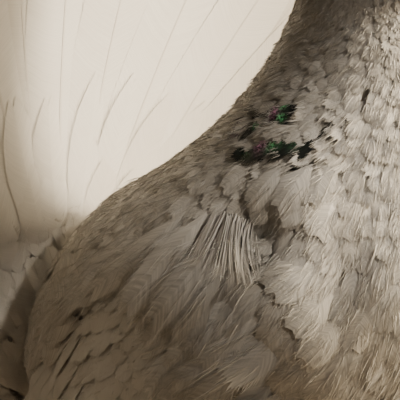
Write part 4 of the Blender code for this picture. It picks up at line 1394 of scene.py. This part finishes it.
def make_bill(horn, powder):
    """Smooth bill halves with their nostrils, and the two lobes of the cere."""
    base = (body_place(np.array(0.0), 0.0) + body_place(np.array(0.0), math.pi)) / 2
    upper, lower, dark = [], [], []
    turn = np.linspace(0, math.pi, 36)
    for share in np.linspace(0, 1, 44):
        taper = (1 - share ** 2.2) * 0.94 + 0.06
        ridge = 0.0050 + 0.0042 * (taper - 1) - BILL_DROP * share ** 2.2 * 0.75
        seam = -0.0012 - BILL_DROP * share ** 1.8 * 0.80
        keel = seam - 0.0036 * (1 - share ** 2.0) - 0.0006
        half = 0.0048 * (1 - share ** 1.7) + 0.0007

        def ring(wide, foot, top):
            return stacked(wide * np.cos(turn), -0.0003 - BILL_LENGTH * share,
                           foot + (top - foot) * np.sin(turn) ** 0.8)

        top = ring(half, seam + 0.00012, max(ridge, seam + 0.0012))
        slit = (top + (0, NOSTRIL[0], -NOSTRIL[1])) / (1, 0.0022, 0.0006)
        pit = np.exp(-np.sum(slit[:, 1:] ** 2, axis=1))
        top[:, 0] *= 1 - 0.22 * pit
        upper.append(top + base)
        # Near-black at the nostril slit, through the mark: painted shade inside the nostril's
        # opening.
        dark.append(0.9 * pit)
        if share <= 0.955:
            lower.append(ring(half * 0.86, seam - 0.00012, keel) + base)
    skin_piece("bill_top", [upper], horn, ("bill_upper",), dark)
    skin_piece("bill_base", [lower], horn, ("bill_lower",))
    around = circle(48)
    for side, name, nodes in ((1, "left", ("cere",)), (-1, "right", ())):
        rings = []
        for a in np.linspace(0.04, math.pi - 0.04, 36):
            swell = 1 + 0.03 * np.sin(5 * around + 3 * a) + 0.035 * np.sin(11 * a + side)
            swell = swell + 0.012 * np.sin(17 * around) * np.sin(7 * a)
            swell = swell * (1 - 0.30 * max(math.cos(a), 0.0))
            rings.append(base + (side * 0.0020, -0.0040, 0.0040) + stacked(
                0.0032 * swell * np.sin(a) * np.cos(around), -0.0050 * np.cos(a),
                0.0026 * swell * np.sin(a) * np.sin(around),
            ))
        skin_piece("wattle_" + name, [rings], powder, nodes)


def aimed(name, data, target, way, distance, axis):
    """A camera or light at a distance from its target, with its axis along way."""
    made = bpy.data.objects.new(name, data)
    made.location = target + way * distance
    made.rotation_euler = Vector(way).to_track_quat(axis, "Y").to_euler()
    bpy.context.scene.collection.objects.link(made)
    return made


def make_camera():
    """The photograph's close view of the right side of the neck and shoulder."""
    data = bpy.data.cameras.new("camera")
    data.sensor_width = SENSOR
    data.lens = SENSOR * VIEW_DISTANCE / VIEW_WIDTH
    data.clip_start = 0.01
    back = camera_axes()[0]
    bpy.context.scene.camera = aimed("camera", data, VIEW_TARGET, back, VIEW_DISTANCE, "Z")


def soft_light(name, turn, high, far, size, power, colour, aim=None, pool=0.0):
    """A soft light on the middle of the view, or a pool of light on its aim."""
    back, right, _ = camera_axes()
    flat = unit(np.array((back[0], back[1], 0.0)))
    turn, high = math.radians(turn), math.radians(high)
    way = (right * math.cos(turn) + flat * math.sin(turn)) * math.cos(high) + (0, 0, math.sin(high))
    data = bpy.data.lights.new(name, "SPOT" if pool else "AREA")
    data.energy, data.color = power, colour
    target = VIEW_TARGET
    if pool:
        target = COAT.at(*seen(aim))[0] if len(aim) == 2 else np.array(aim) + SHIFT
        data.spot_size, data.spot_blend, data.shadow_soft_size = math.radians(pool), 1.0, size
    else:
        data.size = size
    aimed(name, data, target, way, far, "Z")


def make_studio(floor_finish):
    """Pale floor, the lights and weak light from all around."""
    mesh = bpy.data.meshes.new("floor")
    mesh.from_pydata([(-3, -3, 0), (3, -3, 0), (3, 3, 0), (-3, 3, 0)], [], [(0, 1, 2, 3)])
    mesh.materials.append(floor_finish)
    floor = bpy.data.objects.new("floor", mesh)
    floor.location.z = -0.0004
    bpy.context.scene.collection.objects.link(floor)
    for row in LIGHTS:
        soft_light(*row)
    world = bpy.data.worlds.new("world")
    world.use_nodes = True
    around = world.node_tree.nodes["Background"].inputs
    around["Color"].default_value, around["Strength"].default_value = (0.92, 0.93, 1.0, 1), 0.024
    bpy.context.scene.world = world


white = feather_material("white_feather", (0.61, 0.575, 0.52), 0.10, 3.0)
near_white = feather_material("white_feather_near", (0.58, 0.54, 0.48), 0.32)
# The skin under the feathers is a greyed beige, darker than the white feathers: painted shade for
# the gaps between feathers.
skin_finish = plain_material("skin_painted_gap_shade", (0.56, 0.52, 0.46), (0.46, 0.42, 0.37), 900, 0.9, 0.1)
horn = plain_material("horn", (0.80, 0.62, 0.53), (0.68, 0.50, 0.42), 260, 0.34, 0.03)
powder = plain_material("cere_powder", (0.86, 0.81, 0.77), (0.74, 0.67, 0.63), 1500, 0.75, 0.25)
lid_skin = plain_material("lid_skin", (0.66, 0.47, 0.41), (0.52, 0.34, 0.29), 1800, 0.5, 0.10)
claw_horn = plain_material("claw", (0.78, 0.66, 0.56), (0.52, 0.42, 0.36), 400, 0.35)
scales = plain_material("foot_scales", (0.66, 0.22, 0.18), (0.50, 0.13, 0.11), 700, 0.45, 0.10)
floor_finish = plain_material("floor_paint", (0.54, 0.46, 0.37), (0.50, 0.42, 0.33), 8, 0.9)

make_camera()
make_studio(floor_finish)
make_skin(skin_finish)
single_feathers(near_white, dark_material(), body_coat(white, near_white))
eye_finish = eye_material()
for side, name in ((1, "left"), (-1, "right")):
    make_wing(side, name, white, skin_finish)
    make_leg(side, name, white, skin_finish, scales)
    make_eye(side, name, eye_finish, lid_skin)
tail_rng = np.random.default_rng(5)
make_fan(tail_rng, white)
make_cushion(tail_rng, white, skin_finish)
make_crest(white)
make_bill(horn, powder)

for node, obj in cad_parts.items():
    if node.startswith("claw_"):
        obj.data.materials.clear()
        obj.data.materials.append(claw_horn)
